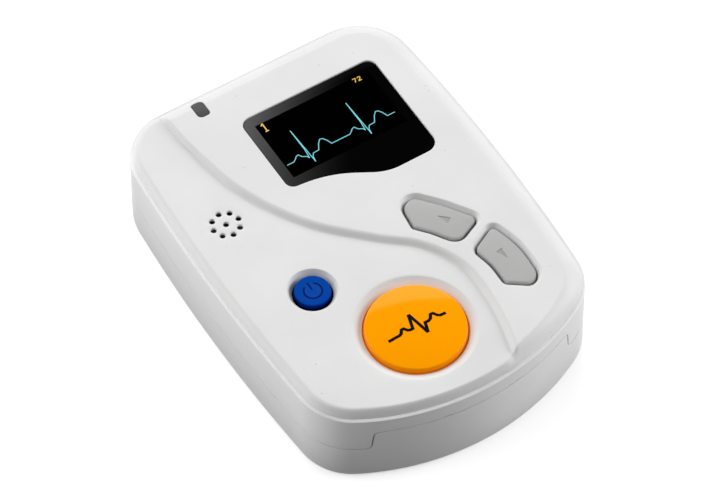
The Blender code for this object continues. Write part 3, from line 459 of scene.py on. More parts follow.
def case_inset(x, y):
    """How far points lie inside the case's outline."""
    x = np.abs(x)
    from_side = side_arc_radius - np.hypot(x - side_centre.x, y - side_centre.y)
    from_front = front_arc_radius - np.hypot(x, y - front_centre.y)
    inset = np.minimum(np.minimum(from_side, from_front), half_length - y)
    for centre, radius, start, end in (
        (back_corner, back_corner_radius, side_end, math.pi / 2),
        (front_corner, front_corner_radius, front_turn, side_start),
    ):
        angle = np.arctan2(y - centre.y, x - centre.x)
        inside = (angle > start) & (angle < end)
        inset = np.where(inside, radius - np.hypot(x - centre.x, y - centre.y), inset)
    return inset


def front_share(y):
    """Rises from 0 to 1 towards the front, where the lip lies lower and the crown is narrower."""
    return ease((-y - front_start) / front_reach)


def crown_height(inset, x, y):
    """The crown's height: narrow and steep at the plateau, wide and flatter at the deck."""
    start, end = crown_blend
    share = ease((step_side(x, y) - start) / (end - start))
    width = plateau_crown_width + (deck_crown_width - plateau_crown_width) * share
    power = plateau_crown_power + (deck_crown_power - plateau_crown_power) * share
    near = front_share(y)
    base = lip_height - front_drop * near
    left = 1 - np.clip((inset - crown_inset) / (width * (1 - front_narrowing * near)), 0, 1)
    return base + (step_height(x, y) - base) * (1 - left ** power) ** (1 / power)


def smooth_min(first, second, soft):
    """The lower of two heights, blended where they are close."""
    share = np.clip(0.5 + 0.5 * (second - first) / soft, 0, 1)
    return second + (first - second) * share - soft * share * (1 - share)


def path_distance(x, y, path, closed=True):
    """Distance to a path, and the side of it as a sign."""
    points = np.array([(p.x, p.y) for p in path])
    starts = points if closed else points[:-1]
    ends = np.roll(points, -1, axis=0) if closed else points[1:]
    run = ends - starts
    dx = x[:, None] - starts[None, :, 0]
    dy = y[:, None] - starts[None, :, 1]
    share = np.clip((dx * run[:, 0] + dy * run[:, 1]) / (run ** 2).sum(1), 0, 1)
    far = np.hypot(dx - share * run[:, 0], dy - share * run[:, 1])
    nearest = far.argmin(1)
    rows = np.arange(len(x))
    side = dy[rows, nearest] * run[nearest, 0] - dx[rows, nearest] * run[nearest, 1]
    return far[rows, nearest], np.sign(side)


def inside_path(x, y, path):
    """Which points lie inside a closed path."""
    found = np.zeros(len(x), bool)
    for start, end in zip(path, path[1:] + path[:1]):
        crosses = (start.y > y) != (end.y > y)
        rise = end.y - start.y if end.y != start.y else 1
        found ^= crosses & (x < start.x + (end.x - start.x) * (y - start.y) / rise)
    return found


def within(outline, holes=()):
    """A test for points inside an outline and outside its holes."""
    def test(x, y):
        fine = inside_path(x, y, outline)
        for hole in holes:
            fine &= ~inside_path(x, y, hole)
        return fine

    return test


def distance_outside(x, y, path):
    """Distance to a closed path, negative inside it."""
    far = path_distance(x, y, path)[0]
    return np.where(inside_path(x, y, path), -far, far)


def step_side(x, y):
    """How far a spot lies on the deck's side of the step's line."""
    far, side = path_distance(x, y, step_line(), closed=False)
    return far * side


def step_height(x, y):
    """The plateau's or the deck's height, with the slope and the slight dip at its foot."""
    half = step_half_width * (1 - step_taper * np.clip((y - step_taper_start) / step_taper_reach, 0, 1))
    across = step_side(x, y) / half
    climb = ease(1 - (1 - np.clip((across + 1) / 2, 0, 1)) ** step_skew)
    beyond = np.clip(-across - 1, 0, None) * half
    foot = plateau_height - step_dip * np.exp(-beyond / step_dip_reach)
    return foot + (deck_height - foot) * climb


def edge_drop(far, radius=hole_round):
    """How much a rounded hole edge falls, at a distance from the hole."""
    near = np.clip(radius - far, 0, radius)
    return radius - np.sqrt(radius ** 2 - near ** 2)


def top_height(x, y):
    """The top surface's height."""
    dish_blend = 0.1 * mm
    flare_blend = 0.16 * mm
    height = crown_height(case_inset(x, y), x, y)
    for middle, radius, width, depth in (
        (event_middle, event_radius + fit, event_dish_width, event_dish_depth),
        (power_middle, power_radius + power_gap, power_dish_width, power_dish_depth),
    ):
        far = np.hypot(x - middle.x, y - middle.y) - radius
        dish = plateau_height - depth + depth * far / width
        height = smooth_min(height, dish, dish_blend) - edge_drop(far)
    for key in (up_key, down_key):
        far = distance_outside(x, y, form_outline(key, key_gap))
        flare = deck_height - key_sunk * (1 - far / key_flare)
        height = smooth_min(height, flare, flare_blend) - edge_drop(far)
    height = height - edge_drop(distance_outside(x, y, form_outline(lens, lens_gap, 10)))
    height = height - edge_drop(distance_outside(x, y, pipe_outline(lens_gap)), hole_round / 2)
    for spot in sound_holes():
        height = height - edge_drop(np.hypot(x - spot.x, y - spot.y) - sound_hole_radius)
    return height


# Meshes

def new_object(name, data):
    """Links a mesh, curve, light or camera as an object."""
    item = bpy.data.objects.new(name, data)
    bpy.context.scene.collection.objects.link(item)
    return item


def soften(item, sharp):
    """Shades an object smooth, with sharp edges where it turns by more than an angle."""
    item.data.shade_smooth()
    item.data.set_sharp_from_angle(angle=math.radians(sharp))


def object_from(name, shape, sharp=30, merge=0.001 * mm):
    """Turns a bmesh into an object."""
    bmesh.ops.remove_doubles(shape, verts=shape.verts, dist=merge)
    bmesh.ops.dissolve_degenerate(shape, edges=shape.edges, dist=merge)
    bmesh.ops.recalc_face_normals(shape, faces=shape.faces)
    mesh = bpy.data.meshes.new(name)
    shape.to_mesh(mesh)
    shape.free()
    item = new_object(name, mesh)
    soften(item, sharp)
    return item


def skin(shape, rings, bottom=False, top=False):
    """Adds quads between rings of equal counts, and faces over the ends where asked."""
    levels = [[shape.verts.new(point) for point in ring] for ring in rings]
    for low, high in zip(levels, levels[1:]):
        for i in range(len(low)):
            j = (i + 1) % len(low)
            shape.faces.new((low[i], low[j], high[j], high[i]))
    if bottom:
        shape.faces.new(levels[0][::-1])
    if top:
        shape.faces.new(levels[-1])


def loft(name, rings, sharp=30, merge=0.001 * mm):
    """A closed solid through rings of equal counts."""
    shape = bmesh.new()
    skin(shape, rings, bottom=True, top=True)
    return object_from(name, shape, sharp, merge)


def turned(name, profile, count, sharp=30):
    """A profile of radius and height turned about Z, listed from the bottom of the axis up."""
    least = 0.0005 * mm
    rings = [at_height(circle((0, 0), max(radius, least), count), height) for radius, height in profile]
    return loft(name, rings, sharp, 0.0001 * mm)


def add_sheet(shape, loops, keep, surface, paths=(), spots=(), up=True):
    """A triangulated sheet through closed loops, open paths and points, kept where keep says."""
    points = []
    edges = []
    for path, closed in [(loop, True) for loop in loops] + [(path, False) for path in paths]:
        first = len(points)
        points += [Vector((p[0], p[1])) for p in path]
        count = len(path)
        edges += [(first + k, first + (k + 1) % count) for k in range(count if closed else count - 1)]
    found = delaunay_2d_cdt(points + list(spots), edges, [], 0, 0.002 * mm)
    corners = np.array([(p.x, p.y) for p in found[0]])
    faces = np.array(found[2])
    centres = corners[faces].mean(1)
    faces = faces[keep(centres[:, 0], centres[:, 1])]
    heights = surface(corners[:, 0], corners[:, 1])
    used = {k: shape.verts.new((*corners[k], heights[k])) for k in np.unique(faces).tolist()}
    for face in faces.tolist():
        shape.faces.new([used[k] for k in (face if up else face[::-1])])


def curve_profile(points, rounds, steps):
    """A profile whose inner corners are rounded by the given radii."""
    corners = [Vector(p) for p in points]
    line = [corners[0]]
    for before, here, after, size in zip(corners, corners[1:], corners[2:], rounds):
        back = before - here
        on = after - here
        reach = min(size, back.length / 2.01, on.length / 2.01)
        start = here + back.normalized() * reach
        end = here + on.normalized() * reach
        for t in (k / steps for k in range(steps + 1)):
            line.append(start * (1 - t) ** 2 + here * 2 * t * (1 - t) + end * t ** 2)
    return line + [corners[-1]]


def quarter_round(steps):
    """How far a rounded edge lies in from the side and down from the top, from side to top."""
    turns = [math.pi / 2 * k / steps for k in range(steps + 1)]
    return [(1 - math.cos(turn), 1 - math.sin(turn)) for turn in turns]


def combine(item, tool, operation):
    """Joins or cuts an object with a tool, and removes the tool."""
    step = item.modifiers.new("combine", "BOOLEAN")
    step.operation = operation
    step.solver = "EXACT"
    step.object = tool
    graph = bpy.context.evaluated_depsgraph_get()
    mesh = bpy.data.meshes.new_from_object(item.evaluated_get(graph))
    item.modifiers.clear()
    item.data = mesh
    bpy.data.objects.remove(tool, do_unlink=True)


def cut(item, tool):
    """Takes a tool's shape out of an object."""
    combine(item, tool, "DIFFERENCE")


def join(item, tool):
    """Adds a tool's shape to an object."""
    combine(item, tool, "UNION")


def soft_box(name, low, high, edge, corner, steps=3):
    """A box with round upright corners and rounded top and bottom edges."""
    rings = [(edge * down, low[2] + edge * inward) for inward, down in quarter_round(steps)]
    rings += [(edge * inward, high[2] - edge * down) for inward, down in quarter_round(steps)]
    return loft(name, [at_height(round_rectangle(low, high, corner, -inset), z) for inset, z in rings])


def prism(name, outline, *heights):
    """An outline carried straight up from one height to another."""
    return loft(name, [at_height(outline, height) for height in heights])


def plain_box(name, low, high):
    """A box with all but sharp corners, for cuts."""
    return prism(name, round_rectangle(low, high, fit / 100), low[2], high[2])


def ribbon(shape, path, width, height, top):
    """A flat raised line along a path, in one closed strip between its sharp turns."""
    starts = [0]
    for k in range(1, len(path) - 1):
        into = (path[k] - path[k - 1]).normalized()
        if into.dot((path[k + 1] - path[k]).normalized()) < -0.2:
            starts.append(k)
    for first, last in zip(starts, starts[1:] + [len(path) - 1]):
        strip(shape, path[first:last + 1], width, height, top)


def strip(shape, path, width, height, top):
    """One closed strip along a path without sharp turns."""
    rings = []
    for k, point in enumerate(path):
        before = (point - path[max(k - 1, 0)]).normalized()
        after = (path[min(k + 1, len(path) - 1)] - point).normalized()
        along = (before + after).normalized()
        across = Vector((-along.y, along.x))
        across *= width / 2 / max(0.5, along.dot(after if k == 0 else before))
        corners = ((-1, top - height), (-1, top), (1, top), (1, top - height))
        rings.append([Vector((*(point + across * side), z)) for side, z in corners])
    skin(shape, rings, bottom=True, top=True)


def paint(item, *finishes, sharp=None):
    """Gives an object its finishes, and smooth shading anew where it was cut."""
    item.data.materials.clear()
    for finish in finishes:
        item.data.materials.append(finish.material)
    if sharp:
        soften(item, sharp)


# Front cover

def crown_ring(inset):
    """The case's outline moved inwards, on the crown."""
    return draped(case_ring(inset), lambda x, y: crown_height(inset, x, y))


def lip_ring(inset, height):
    """A ring of the lip, which dips slightly towards the front."""
    return draped(case_ring(inset), lambda x, y: height - front_drop * front_share(y))


def notched_ring(inset, lift, mouth_top):
    """A ring along the seam, with the seam's small pry notches at the front."""
    ring = case_ring(inset, lift=lift, mouth_top=mouth_top)
    for point in ring:
        for notch in pry_notches:
            if point.y < -0.9 * half_length and abs(point.x - notch) < notch_half_width:
                point.z += notch_rise
    return ring


def rim_rings():
    """The front cover's rings from the ceiling down to the seam, up the wall and over the lip."""
    mouth_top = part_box("lead_socket")[1].z + fit - seam_gap / 2
    half = seam_gap / 2
    rebate = seam_lip_rise + fit
    rebate_inset = seam_lip_inset - fit
    rings = [
        case_ring(wall + ceiling_round, height=ceiling_height),
        case_ring(wall, height=ceiling_height - ceiling_round),
        case_ring(wall, lift=rebate, mouth_top=mouth_top),
        case_ring(rebate_inset, lift=rebate, mouth_top=mouth_top),
    ]
    for inset, lift in (
        (rebate_inset, half),
        (seam_edge, half),
        (seam_edge * 0.3, half + seam_edge * 0.3),
        (0, half + seam_edge),
        (0, half + seam_edge + hold),
    ):
        rings.append(notched_ring(inset, lift, mouth_top))
    rings.append(lip_ring(0, lip_height - lip_round - hold))
    for inward, down in quarter_round(5):
        rings.append(lip_ring(lip_round * inward, lip_height - lip_round * down))
    rings += [lip_ring(inset, lip_height) for inset in lip_flat]
    for share in (step / crown_rings for step in range(crown_rings + 1)):
        reach = (rim_end - crown_inset) * share ** crown_gathering
        rings.append(crown_ring(crown_inset + 0.001 * mm + reach))
    return rings


def top_holes():
    """Every hole in the top: its outline by how far it grows, and where loops ring it, in mm."""
    key_loops = (0.05, 0.15, 0.4, 0.65, 0.8, 0.9, 1.0, 1.2)
    power_loops = (0.05, 0.15, 0.4, 0.8, 1.05, 1.2, 1.35, 1.6)
    event_loops = (0.05, 0.15, 0.5, 1.0, 1.6, 1.95, 2.1, 2.25, 2.5)
    lens_loops = (0.04, 0.09, 0.15, 0.3)
    pipe_loops = (0.03, 0.075, 0.2)
    sound_loops = (0.04, 0.09, 0.15)
    holes = [
        (lambda grow: circle(event_middle, event_radius + fit + grow, 180), event_loops),
        (lambda grow: circle(power_middle, power_radius + power_gap + grow, 96), power_loops),
        (lambda grow: spread(form_outline(up_key, key_gap + grow), 0.6 * mm, True), key_loops),
        (lambda grow: spread(form_outline(down_key, key_gap + grow), 0.6 * mm, True), key_loops),
        (lambda grow: spread(form_outline(lens, lens_gap + grow, 10), 0.8 * mm, True), lens_loops),
        (lambda grow: spread(pipe_outline(lens_gap + grow), 0.4 * mm, True), pipe_loops),
    ]
    for spot in sound_holes():
        holes.append((lambda grow, spot=spot: circle(spot, sound_hole_radius + grow, 28), sound_loops))
    return holes


def spot_grid(spacing, keep_clear):
    """A staggered grid of points over the case, clear of the paths already used."""
    spots = []
    for row in range(int(2 * half_length / spacing) + 1):
        y = -half_length + row * spacing
        shift = spacing / 2 if row % 2 else 0
        columns = int(2 * half_width / spacing)
        spots += [(-half_width + shift + column * spacing, y) for column in range(columns + 1)]
    x, y = np.array(spots).T
    return [Vector(p) for p, fine in zip(spots, keep_clear(x, y)) if fine]


def add_top(shape, rim, holes, edges):
    """The top's sheet, with loops where it bends: on the crown, round the holes, along the step."""
    loops = [rim] + [flat(case_ring(inset * mm)) for inset in crown_loops] + edges
    for outline, offsets in holes:
        loops += [outline(offset * mm) for offset in offsets]
    clear_of_rim = 5.8 * mm
    clear_of_hole = 0.5 * mm
    clear_of_step = 1.6 * mm
    paths = []
    for side in step_sides:
        path = step_line(side)
        x, y = np.array([(p.x, p.y) for p in path]).T
        paths.append([p for p, inset in zip(path, case_inset(x, y)) if inset > rim_end + 0.1 * mm])

    def clear_ground(x, y):
        fine = case_inset(x, y) > clear_of_rim
        for outline, offsets in holes:
            fine &= distance_outside(x, y, outline(offsets[-1] * mm)) > clear_of_hole
        return fine & (path_distance(x, y, step_line(), False)[0] > clear_of_step)

    spots = spot_grid(1.7 * mm, clear_ground)
    add_sheet(shape, loops, within(rim, edges), top_height, paths, spots)


def add_inside(shape, ceiling, edges):
    """The holes' walls, the lens's ledge, the thin roof over the sounder, and the ceiling."""
    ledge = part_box("lens_gasket")[0].z - fit / 3
    roof = plateau_height - sound_wall
    window_margin = 0.4 * mm
    window = round_rectangle(*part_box("display_panel"), fit, window_margin)
    grille = circle(place(sounder_place), sound_ring_radius + 2 * sound_hole_radius, 48)
    buttons, lens_edge, pipe_edge, sounds = edges[:4], edges[4], edges[5], edges[6:]
    feet = [ceiling_height] * 4 + [ledge, ceiling_height] + [roof] * len(sounds)
    for edge, foot in zip(edges, feet):
        skin(shape, [draped(edge, top_height), at_height(edge, foot)])
    for path, top in ((window, ledge), (grille, roof)):
        skin(shape, [at_height(path, top), at_height(path, ceiling_height)])
    openings = buttons + [window, pipe_edge, grille]
    add_sheet(shape, [lens_edge, window], within(lens_edge, [window]), level(ledge))
    add_sheet(shape, [grille] + sounds, within(grille, sounds), level(roof), up=False)
    add_sheet(shape, [ceiling] + openings, within(ceiling, openings), level(ceiling_height), up=False)


def mark_lip_highlight(item):
    """Gives the lip's upward faces the finish with the painted highlight."""
    for face in item.data.polygons:
        x, y, z = face.center
        inset = case_inset(np.array([x]), np.array([y]))[0]
        above = z - lip_height + front_drop * front_share(y)
        if -0.2 * mm < above < 0.02 * mm and inset < crown_inset and face.normal.z > 0.3:
            face.material_index = 1


def make_front_cover():
    """The upper shell: wall, lip, groove, crown, deck, step, recesses and holes."""
    shape = bmesh.new()
    rings = rim_rings()
    skin(shape, rings)
    holes = top_holes()
    edges = [outline(0) for outline, _ in holes]
    add_top(shape, flat(rings[-1]), holes, edges)
    add_inside(shape, flat(rings[0]), edges)
    item = object_from("front_cover_shell", shape, 35)
    # The second finish paints a highlight on the lip's top.
    paint(item, white_plastic("front_white", 3.1), white_plastic("lip_painted_highlight", 3.1, with_lip_highlight=True))
    mark_lip_highlight(item)
    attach(item, "case")
    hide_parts("front_cover")


def make_front_bosses():
    """The four screw bosses under the deck."""
    foot = seam_height + seam_gap / 2 + fit
    for number, screw in enumerate(screws, 1):
        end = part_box(screw)[1].z + fit
        profile = [
            (0, end), (screw_hole_radius, end), (screw_hole_radius, foot),
            (front_boss_radius, foot), (front_boss_radius, ceiling_height), (0, ceiling_height),
        ]
        item = turned(f"front_boss_{number}", profile, 40)
        item.location = middle_of(screw).to_3d()
        paint(item, white_plastic(f"boss_white_{number}", 5 + number))
        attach(item, "case")


# Rear cover

def rear_rings():
    """The rear cover's rings, from the foot up the wall and down inside it to the floor."""
    half = seam_gap / 2
    rings = []
    for inward, down in quarter_round(8):
        rings.append(case_ring(foot_inset * down ** 1.3, height=foot_rise * inward))
    return rings + [
        case_ring(0, height=foot_rise + hold),
        case_ring(0, lift=-half - seam_edge - hold),
        case_ring(0, lift=-half - seam_edge),
        case_ring(seam_edge * 0.3, lift=-half - seam_edge * 0.3),
        case_ring(seam_edge, lift=-half),
        case_ring(seam_lip_inset, lift=-half),
        case_ring(seam_lip_inset, lift=seam_lip_rise),
        case_ring(wall, lift=seam_lip_rise),
        case_ring(wall, height=floor_wall * 1.2),
    ]


def chamfered_hole(outline, top, edge):
    """A cutter from below the floor to top, which flares where it leaves the floor."""
    steps = ((edge + overrun, -overrun), (edge, 0), (edge * 0.3, edge * 0.3), (0, edge), (0, top))
    return loft("hole", [at_height(outline(grow), height) for grow, height in steps])


def add_block_and_bosses(item):
    """The battery block and the four screw bosses on the floor."""
    root = floor_wall / 2
    join(item, plain_box("block", (-block_x, -block_y, root), (block_x, block_y, bay_top)))
    for screw in screws:
        boss = circle(middle_of(screw), rear_boss_radius, 40)
        join(item, prism("boss", boss, root, seam_height - seam_gap / 2 - fit))


def cut_bays(item):
    """The door's recess, the bays for cells, card and card socket, and the tabs' and latch's room."""
    card_low, card_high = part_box("memory_card")
    card_bay_end = 2.5 * mm
    socket_bay_start = (4.1 * mm, card_side, 3.5 * mm)
    slot = ((0.5 * mm, card_low.y - fit, card_low.z - fit), (6 * mm, card_high.y + fit, card_high.z + fit))
    corners = ((-recess_x, -recess_y), (recess_x, recess_y))
    cut(item, chamfered_hole(
        lambda grow: round_rectangle(*corners, door_corner, grow, 10), floor_wall, 0.25 * mm
    ))
    for low, high in (
        ((-bay_x, -bay_y, -overrun), (bay_x, partition, bay_height)),
        ((-bay_x, card_side, -overrun), (card_bay_end, bay_y, bay_height)),
        (socket_bay_start, (block_x + overrun, bay_y, bay_top + overrun)),
        slot,
    ):
        cut(item, soft_box("bay", low, high, 0.05 * mm, 0.5 * mm, 2))
    room = 1.8 * mm
    pocket_start = 26.65 * mm
    pocket_top = 6.7 * mm
    for x in tab_places:
        low = (x - tab_half_width - fit, pocket_start, room)
        cut(item, plain_box("pocket", low, (x + tab_half_width + fit, block_y + overrun, pocket_top)))
    latch = snap_half_width + fit
    latch_end = (latch, -27.75 * mm, 5.5 * mm)
    cut(item, plain_box("latch", (-latch, -block_y - overrun, room), latch_end))


def cut_screw_wells(item):
    """The wells for the screws' heads, and the holes for their shanks."""
    for spot in map(middle_of, screws):
        cut(item, chamfered_hole(
            lambda grow: circle(spot, screw_well_radius + grow, 48), screw_well_depth, 0.3 * mm
        ))
        cut(item, prism("shank", circle(spot, screw_hole_radius, 32), 0.5 * mm, seam_height + overrun))


def cut_dip_and_mouth(item):
    """The finger dip and the arrow by the door, and the socket's mouth."""
    radius = 12 * mm
    depth = 1.1 * mm
    reach = math.sqrt(radius ** 2 - (radius - depth) ** 2)
    where = Matrix.Translation((0, -recess_y - reach / 2, depth - radius))
    ball = bmesh.new()
    bmesh.ops.create_uvsphere(ball, u_segments=96, v_segments=64, radius=radius, matrix=where)
    cut(item, object_from("dip", ball))
    low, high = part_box("lead_socket")
    mouth_low = low - Vector((fit, fit, fit))
    cut(item, plain_box("mouth", mouth_low, (high.x + fit, half_length + overrun, high.z + fit)))
    y = -recess_y - 10 * mm
    arrow = [(-1.6 * mm, y), (1.6 * mm, y), (0, y + 2.2 * mm)]
    cut(item, prism("arrow", arrow, -overrun, 0.25 * mm))


def make_rear_cover():
    """The lower shell: foot, wall, front tongue, battery block and its bays."""
    item = loft("rear_cover_shell", rear_rings())
    add_block_and_bosses(item)
    cut_bays(item)
    cut_screw_wells(item)
    cut_dip_and_mouth(item)
    paint(item, white_plastic("rear_white", 7.7), sharp=28)
    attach(item, "case")
    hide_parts("rear_cover")


def add_tabs_and_snap(item):
    """The door's two tabs on their roots, and its snap finger, an arm with a nose."""
    end = door_half_length
    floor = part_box("battery_door")[0].z
    nick = 0.01 * mm
    for x in tab_places:
        left = x - tab_half_width
        right = x + tab_half_width
        root = ((left, end - 2.3 * mm, floor + 0.5 * mm), (right, end - fit, 3.4 * mm))
        join(item, soft_box("root", *root, 0.2 * mm, 0.3 * mm))
        tab = ((left + nick, end - 2.1 * mm, 2.2 * mm), (right - nick, end + 2.3 * mm, 3.39 * mm))
        join(item, soft_box("tab", *tab, 0.3 * mm, 0.6 * mm))
    front = fit - end
    half = snap_half_width
    arm = ((-half, front + 0.9 * mm, 1 * mm), (half, front + 2.1 * mm, 4.9 * mm))
    join(item, soft_box("arm", *arm, 0.25 * mm, 0.3 * mm))
    nose = ((nick - half, front - fit, 2.2 * mm), (half - nick, front + 1.5 * mm, 3 * mm))
    join(item, soft_box("nose", *nose, 0.3 * mm, 0.3 * mm))


def make_battery_door():
    """The door: a plate with softened edges, grip grooves, two tabs and a snap finger."""
    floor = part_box("battery_door")[0].z
    low = (-door_half_width, -door_half_length, floor)
    high = (door_half_width, door_half_length, floor_wall - fit)
    groove_count = 5
    groove_pitch = 2.4 * mm
    groove_reach = (8 * mm, 0.55 * mm)
    item = soft_box("battery_door_panel", low, high, 0.25 * mm, door_corner, 5)
    add_tabs_and_snap(item)
    for number in range(groove_count):
        middle = Vector((0, -door_half_length + groove_pitch * (number + 1.5)))
        ends = (middle - Vector(groove_reach), middle + Vector(groove_reach))
        groove = []
        for inset, height in ((-0.35, -0.65), (-0.35, -0.15), (0, 0), (0.12, 0.25), (0.3, 0.45), (0.5, 0.5)):
            path = round_rectangle(*ends, 0.54 * mm, -inset * mm)
            groove.append(at_height(path, floor + height * mm))
        cut(item, loft("groove", groove))
    paint(item, white_plastic("door_white", 11.3), sharp=28)
    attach(item, "battery_door")
    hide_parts("battery_door")


def make_screws():
    """Four cross-headed screws with threads."""
    shank = 1.0 * mm
    neck = 1.25 * mm
    thread = 1.3 * mm
    thread_start = 2.4 * mm
    thread_end = 1.3 * mm
    pitch = 0.6 * mm
    head_height = 1.9 * mm
    drive_size = (1.5 * mm, 0.33 * mm, 0.8 * mm)
    drive_turn = 0.4
    for number, node in enumerate(screws, 1):
        low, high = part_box(node)
        spot = middle_of(node).to_3d()
        radius = high.x - spot.x
        profile = [
            (0, low.z), (radius * 0.55, low.z), (radius * 0.85, low.z + 0.25 * mm),
            (radius, low.z + 0.8 * mm), (radius, low.z + head_height), (neck, low.z + head_height),
        ]
        height = low.z + thread_start
        while height < high.z - thread_end:
            profile += [(shank, height), (thread, height + 0.25 * mm), (shank, height + 0.5 * mm)]
            height += pitch
        profile += [(shank, high.z - 1 * mm), (0.5 * mm, high.z), (0, high.z)]
        item = turned(f"{node}_body", profile, 40)
        item.location = spot
        for turn in (0, math.pi / 2):
            x, y, depth = drive_size
            tool = plain_box("slot", (-x, -y, low.z - overrun), (x, y, low.z + depth))
            tool.location = spot
            tool.rotation_euler = (0, 0, turn + drive_turn * number)
            cut(item, tool)
        paint(item, metal("screw_zinc", (0.55, 0.56, 0.58), 0.32), sharp=25)
        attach(item, "case")
        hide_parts(node)


# Buttons

def make_event_button():
    """The large domed cap with its rolled rim, and a pulse sign on it."""
    spot = event_middle.to_3d()
    low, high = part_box("event_button")
    cap_wall = 1.3 * mm
    rim_top = high.z - 0.8 * mm
    dome_foot = rim_top + 0.05 * mm
    flange_top = low.z + flange_height
    outer = event_radius + flange_width
    face = event_radius - 0.3 * mm
    flat_radius = face - 0.3 * mm
    inner = face - cap_wall
    roof = rim_top - cap_wall
    stem = 2 * mm

    def dome(share):
        return dome_foot + (high.z - dome_foot) * (1 - share ** 2.1)

    profile = [
        (0, low.z), (stem, low.z), (stem, roof), (inner, roof), (inner, low.z),
        (outer, low.z), (outer, flange_top), (event_radius, flange_top),
    ]
    shoulder = [
        (event_radius, rim_top - 1.9 * mm), (event_radius - 0.05 * mm, rim_top - 0.9 * mm),
        (face, rim_top), (flat_radius, dome_foot),
    ]
    profile += [tuple(p) for p in curve_profile(shoulder, [0.3 * mm, 0.16 * mm], 6)]
    profile += [(flat_radius * (1 - k / 24), dome(1 - k / 24)) for k in range(1, 25)]
    item = turned("event_button_cap", profile, 160, 40)
    item.location = spot
    paint(item, orange_plastic())
    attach(item, "event_button")
    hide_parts("event_button")

    beat = [
        (-7.2, -0.5), (-4.4, -0.5), (-3.9, -0.3), (-3.3, 0.5), (-2.8, 0.5), (-2.2, -0.3),
        (-1.7, -0.5), (-1.1, -0.5), (0.0, 3.0), (1.2, -2.9), (2.0, -0.5), (2.9, -0.5),
        (3.5, -0.2), (4.1, 0.7), (4.7, 0.7), (5.3, -0.2), (5.8, -0.5), (7.2, -0.5),
    ]
    path = [Vector((x * 1.08 * mm, y * 1.12 * mm)) for x, y in beat]
    shape = bmesh.new()
    ribbon(shape, spread(path, 0.5 * mm), 0.78 * mm, 0.1 * mm, 0)
    mark = object_from("event_button_mark", shape, 60)
    for vertex in mark.data.vertices:
        vertex.co.z += dome(vertex.co.to_2d().length / flat_radius) + ink_rise
    mark.location = spot
    paint(mark, plastic("mark_ink", (0.002, 0.0015, 0.001), 0.5, grain=0.02, specular=0.01))
    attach(mark, "event_button")


def make_power_button():
    """The small blue cap with its power sign."""
    spot = power_middle.to_3d()
    low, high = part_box("power_button")
    flange_top = low.z + flange_height
    outer = power_radius + flange_width / 2
    top = high.z - 0.36 * mm
    face = power_radius - 0.3 * mm
    flat_radius = face - 0.3 * mm
    rise = 0.01 * mm
    profile = [(0, low.z), (outer, low.z), (outer, flange_top), (power_radius, flange_top)]
    shoulder = [
        (power_radius, top - 1.1 * mm), (power_radius - 0.08 * mm, top - 0.5 * mm),
        (face, top), (flat_radius, top + rise),
    ]
    profile += [tuple(p) for p in curve_profile(shoulder, [0.2 * mm, 0.16 * mm], 5)]
    profile += [(flat_radius * share, top + rise) for share in (0.7, 0.4, 0)]
    item = turned("power_button_cap", profile, 96, 40)
    item.location = spot
    paint(item, blue_plastic(top - 0.1 * mm))
    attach(item, "power_button")
    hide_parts("power_button")

    shape = bmesh.new()
    gap = math.radians(32)
    ring_middle = (0, -0.15 * mm)
    ring_radius = 2.15 * mm
    line_width = 0.42 * mm
    ring = arc(ring_middle, ring_radius, math.pi / 2 + gap, math.pi * 5 / 2 - gap, 40)
    stem = [Vector((0, y * mm)) for y in (0.3, 1.2, 2.45)]
    for path in (ring, stem):
        ribbon(shape, path, line_width, 0.1 * mm, top + 0.02 * mm)
    mark = object_from("power_button_mark", shape, 60)
    mark.location = spot
    paint(mark, plastic("power_ink", (0.0, 0.007, 0.10), 0.5, grain=0.02, specular=0.01))
    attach(mark, "power_button")


def make_key(node, key):
    """An arrow key with a rounded top edge, a flange and a sunk triangle."""
    low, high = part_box(node)
    edge = 0.42 * mm
    top = high.z + 0.23 * mm
    flange_top = low.z + flange_height
    steps = [(key_flange, low.z), (key_flange, flange_top), (0, flange_top)]
    steps += [(-edge * inward, top - edge * down) for inward, down in quarter_round(6)]
    cap = loft(f"{node}_cap", [at_height(form_outline(key, grow, 10), z) for grow, z in steps])
    turn = Matrix.Rotation(key["mark_turn"], 2)
    spot = Vector(key["mark"])
    half = mark_width / 2
    corners = [(mark_length * 0.6, 0), (-mark_length * 0.4, half), (-mark_length * 0.4, -half)]
    corners = [spot + turn @ Vector(corner) for corner in corners]
    rings = []
    for grow, height in ((-0.02, -0.14), (0.0, -0.05), (0.06, 0.0), (0.06, 0.4)):
        path = rounded_outline(corners, [0.06 * mm] * 3, grow * mm, 3)
        rings.append(at_height(path, top + height * mm))
    cut(cap, loft("triangle", rings))
    paint(
        cap,
        plastic(f"{node}_grey", (0.45, 0.455, 0.447), 0.48, grain=0.12),
        plastic(f"{node}_mark", (0.385, 0.39, 0.383), 0.6, grain=0.12, specular=0.2),
        sharp=32,
    )
    for face in cap.data.polygons:
        near = (face.center.to_2d() - spot).length < mark_length
        if near and top - 0.16 * mm < face.center.z < top - 0.12 * mm:
            face.material_index = 1
    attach(cap, node)
    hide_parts(node)


# Display and indicator

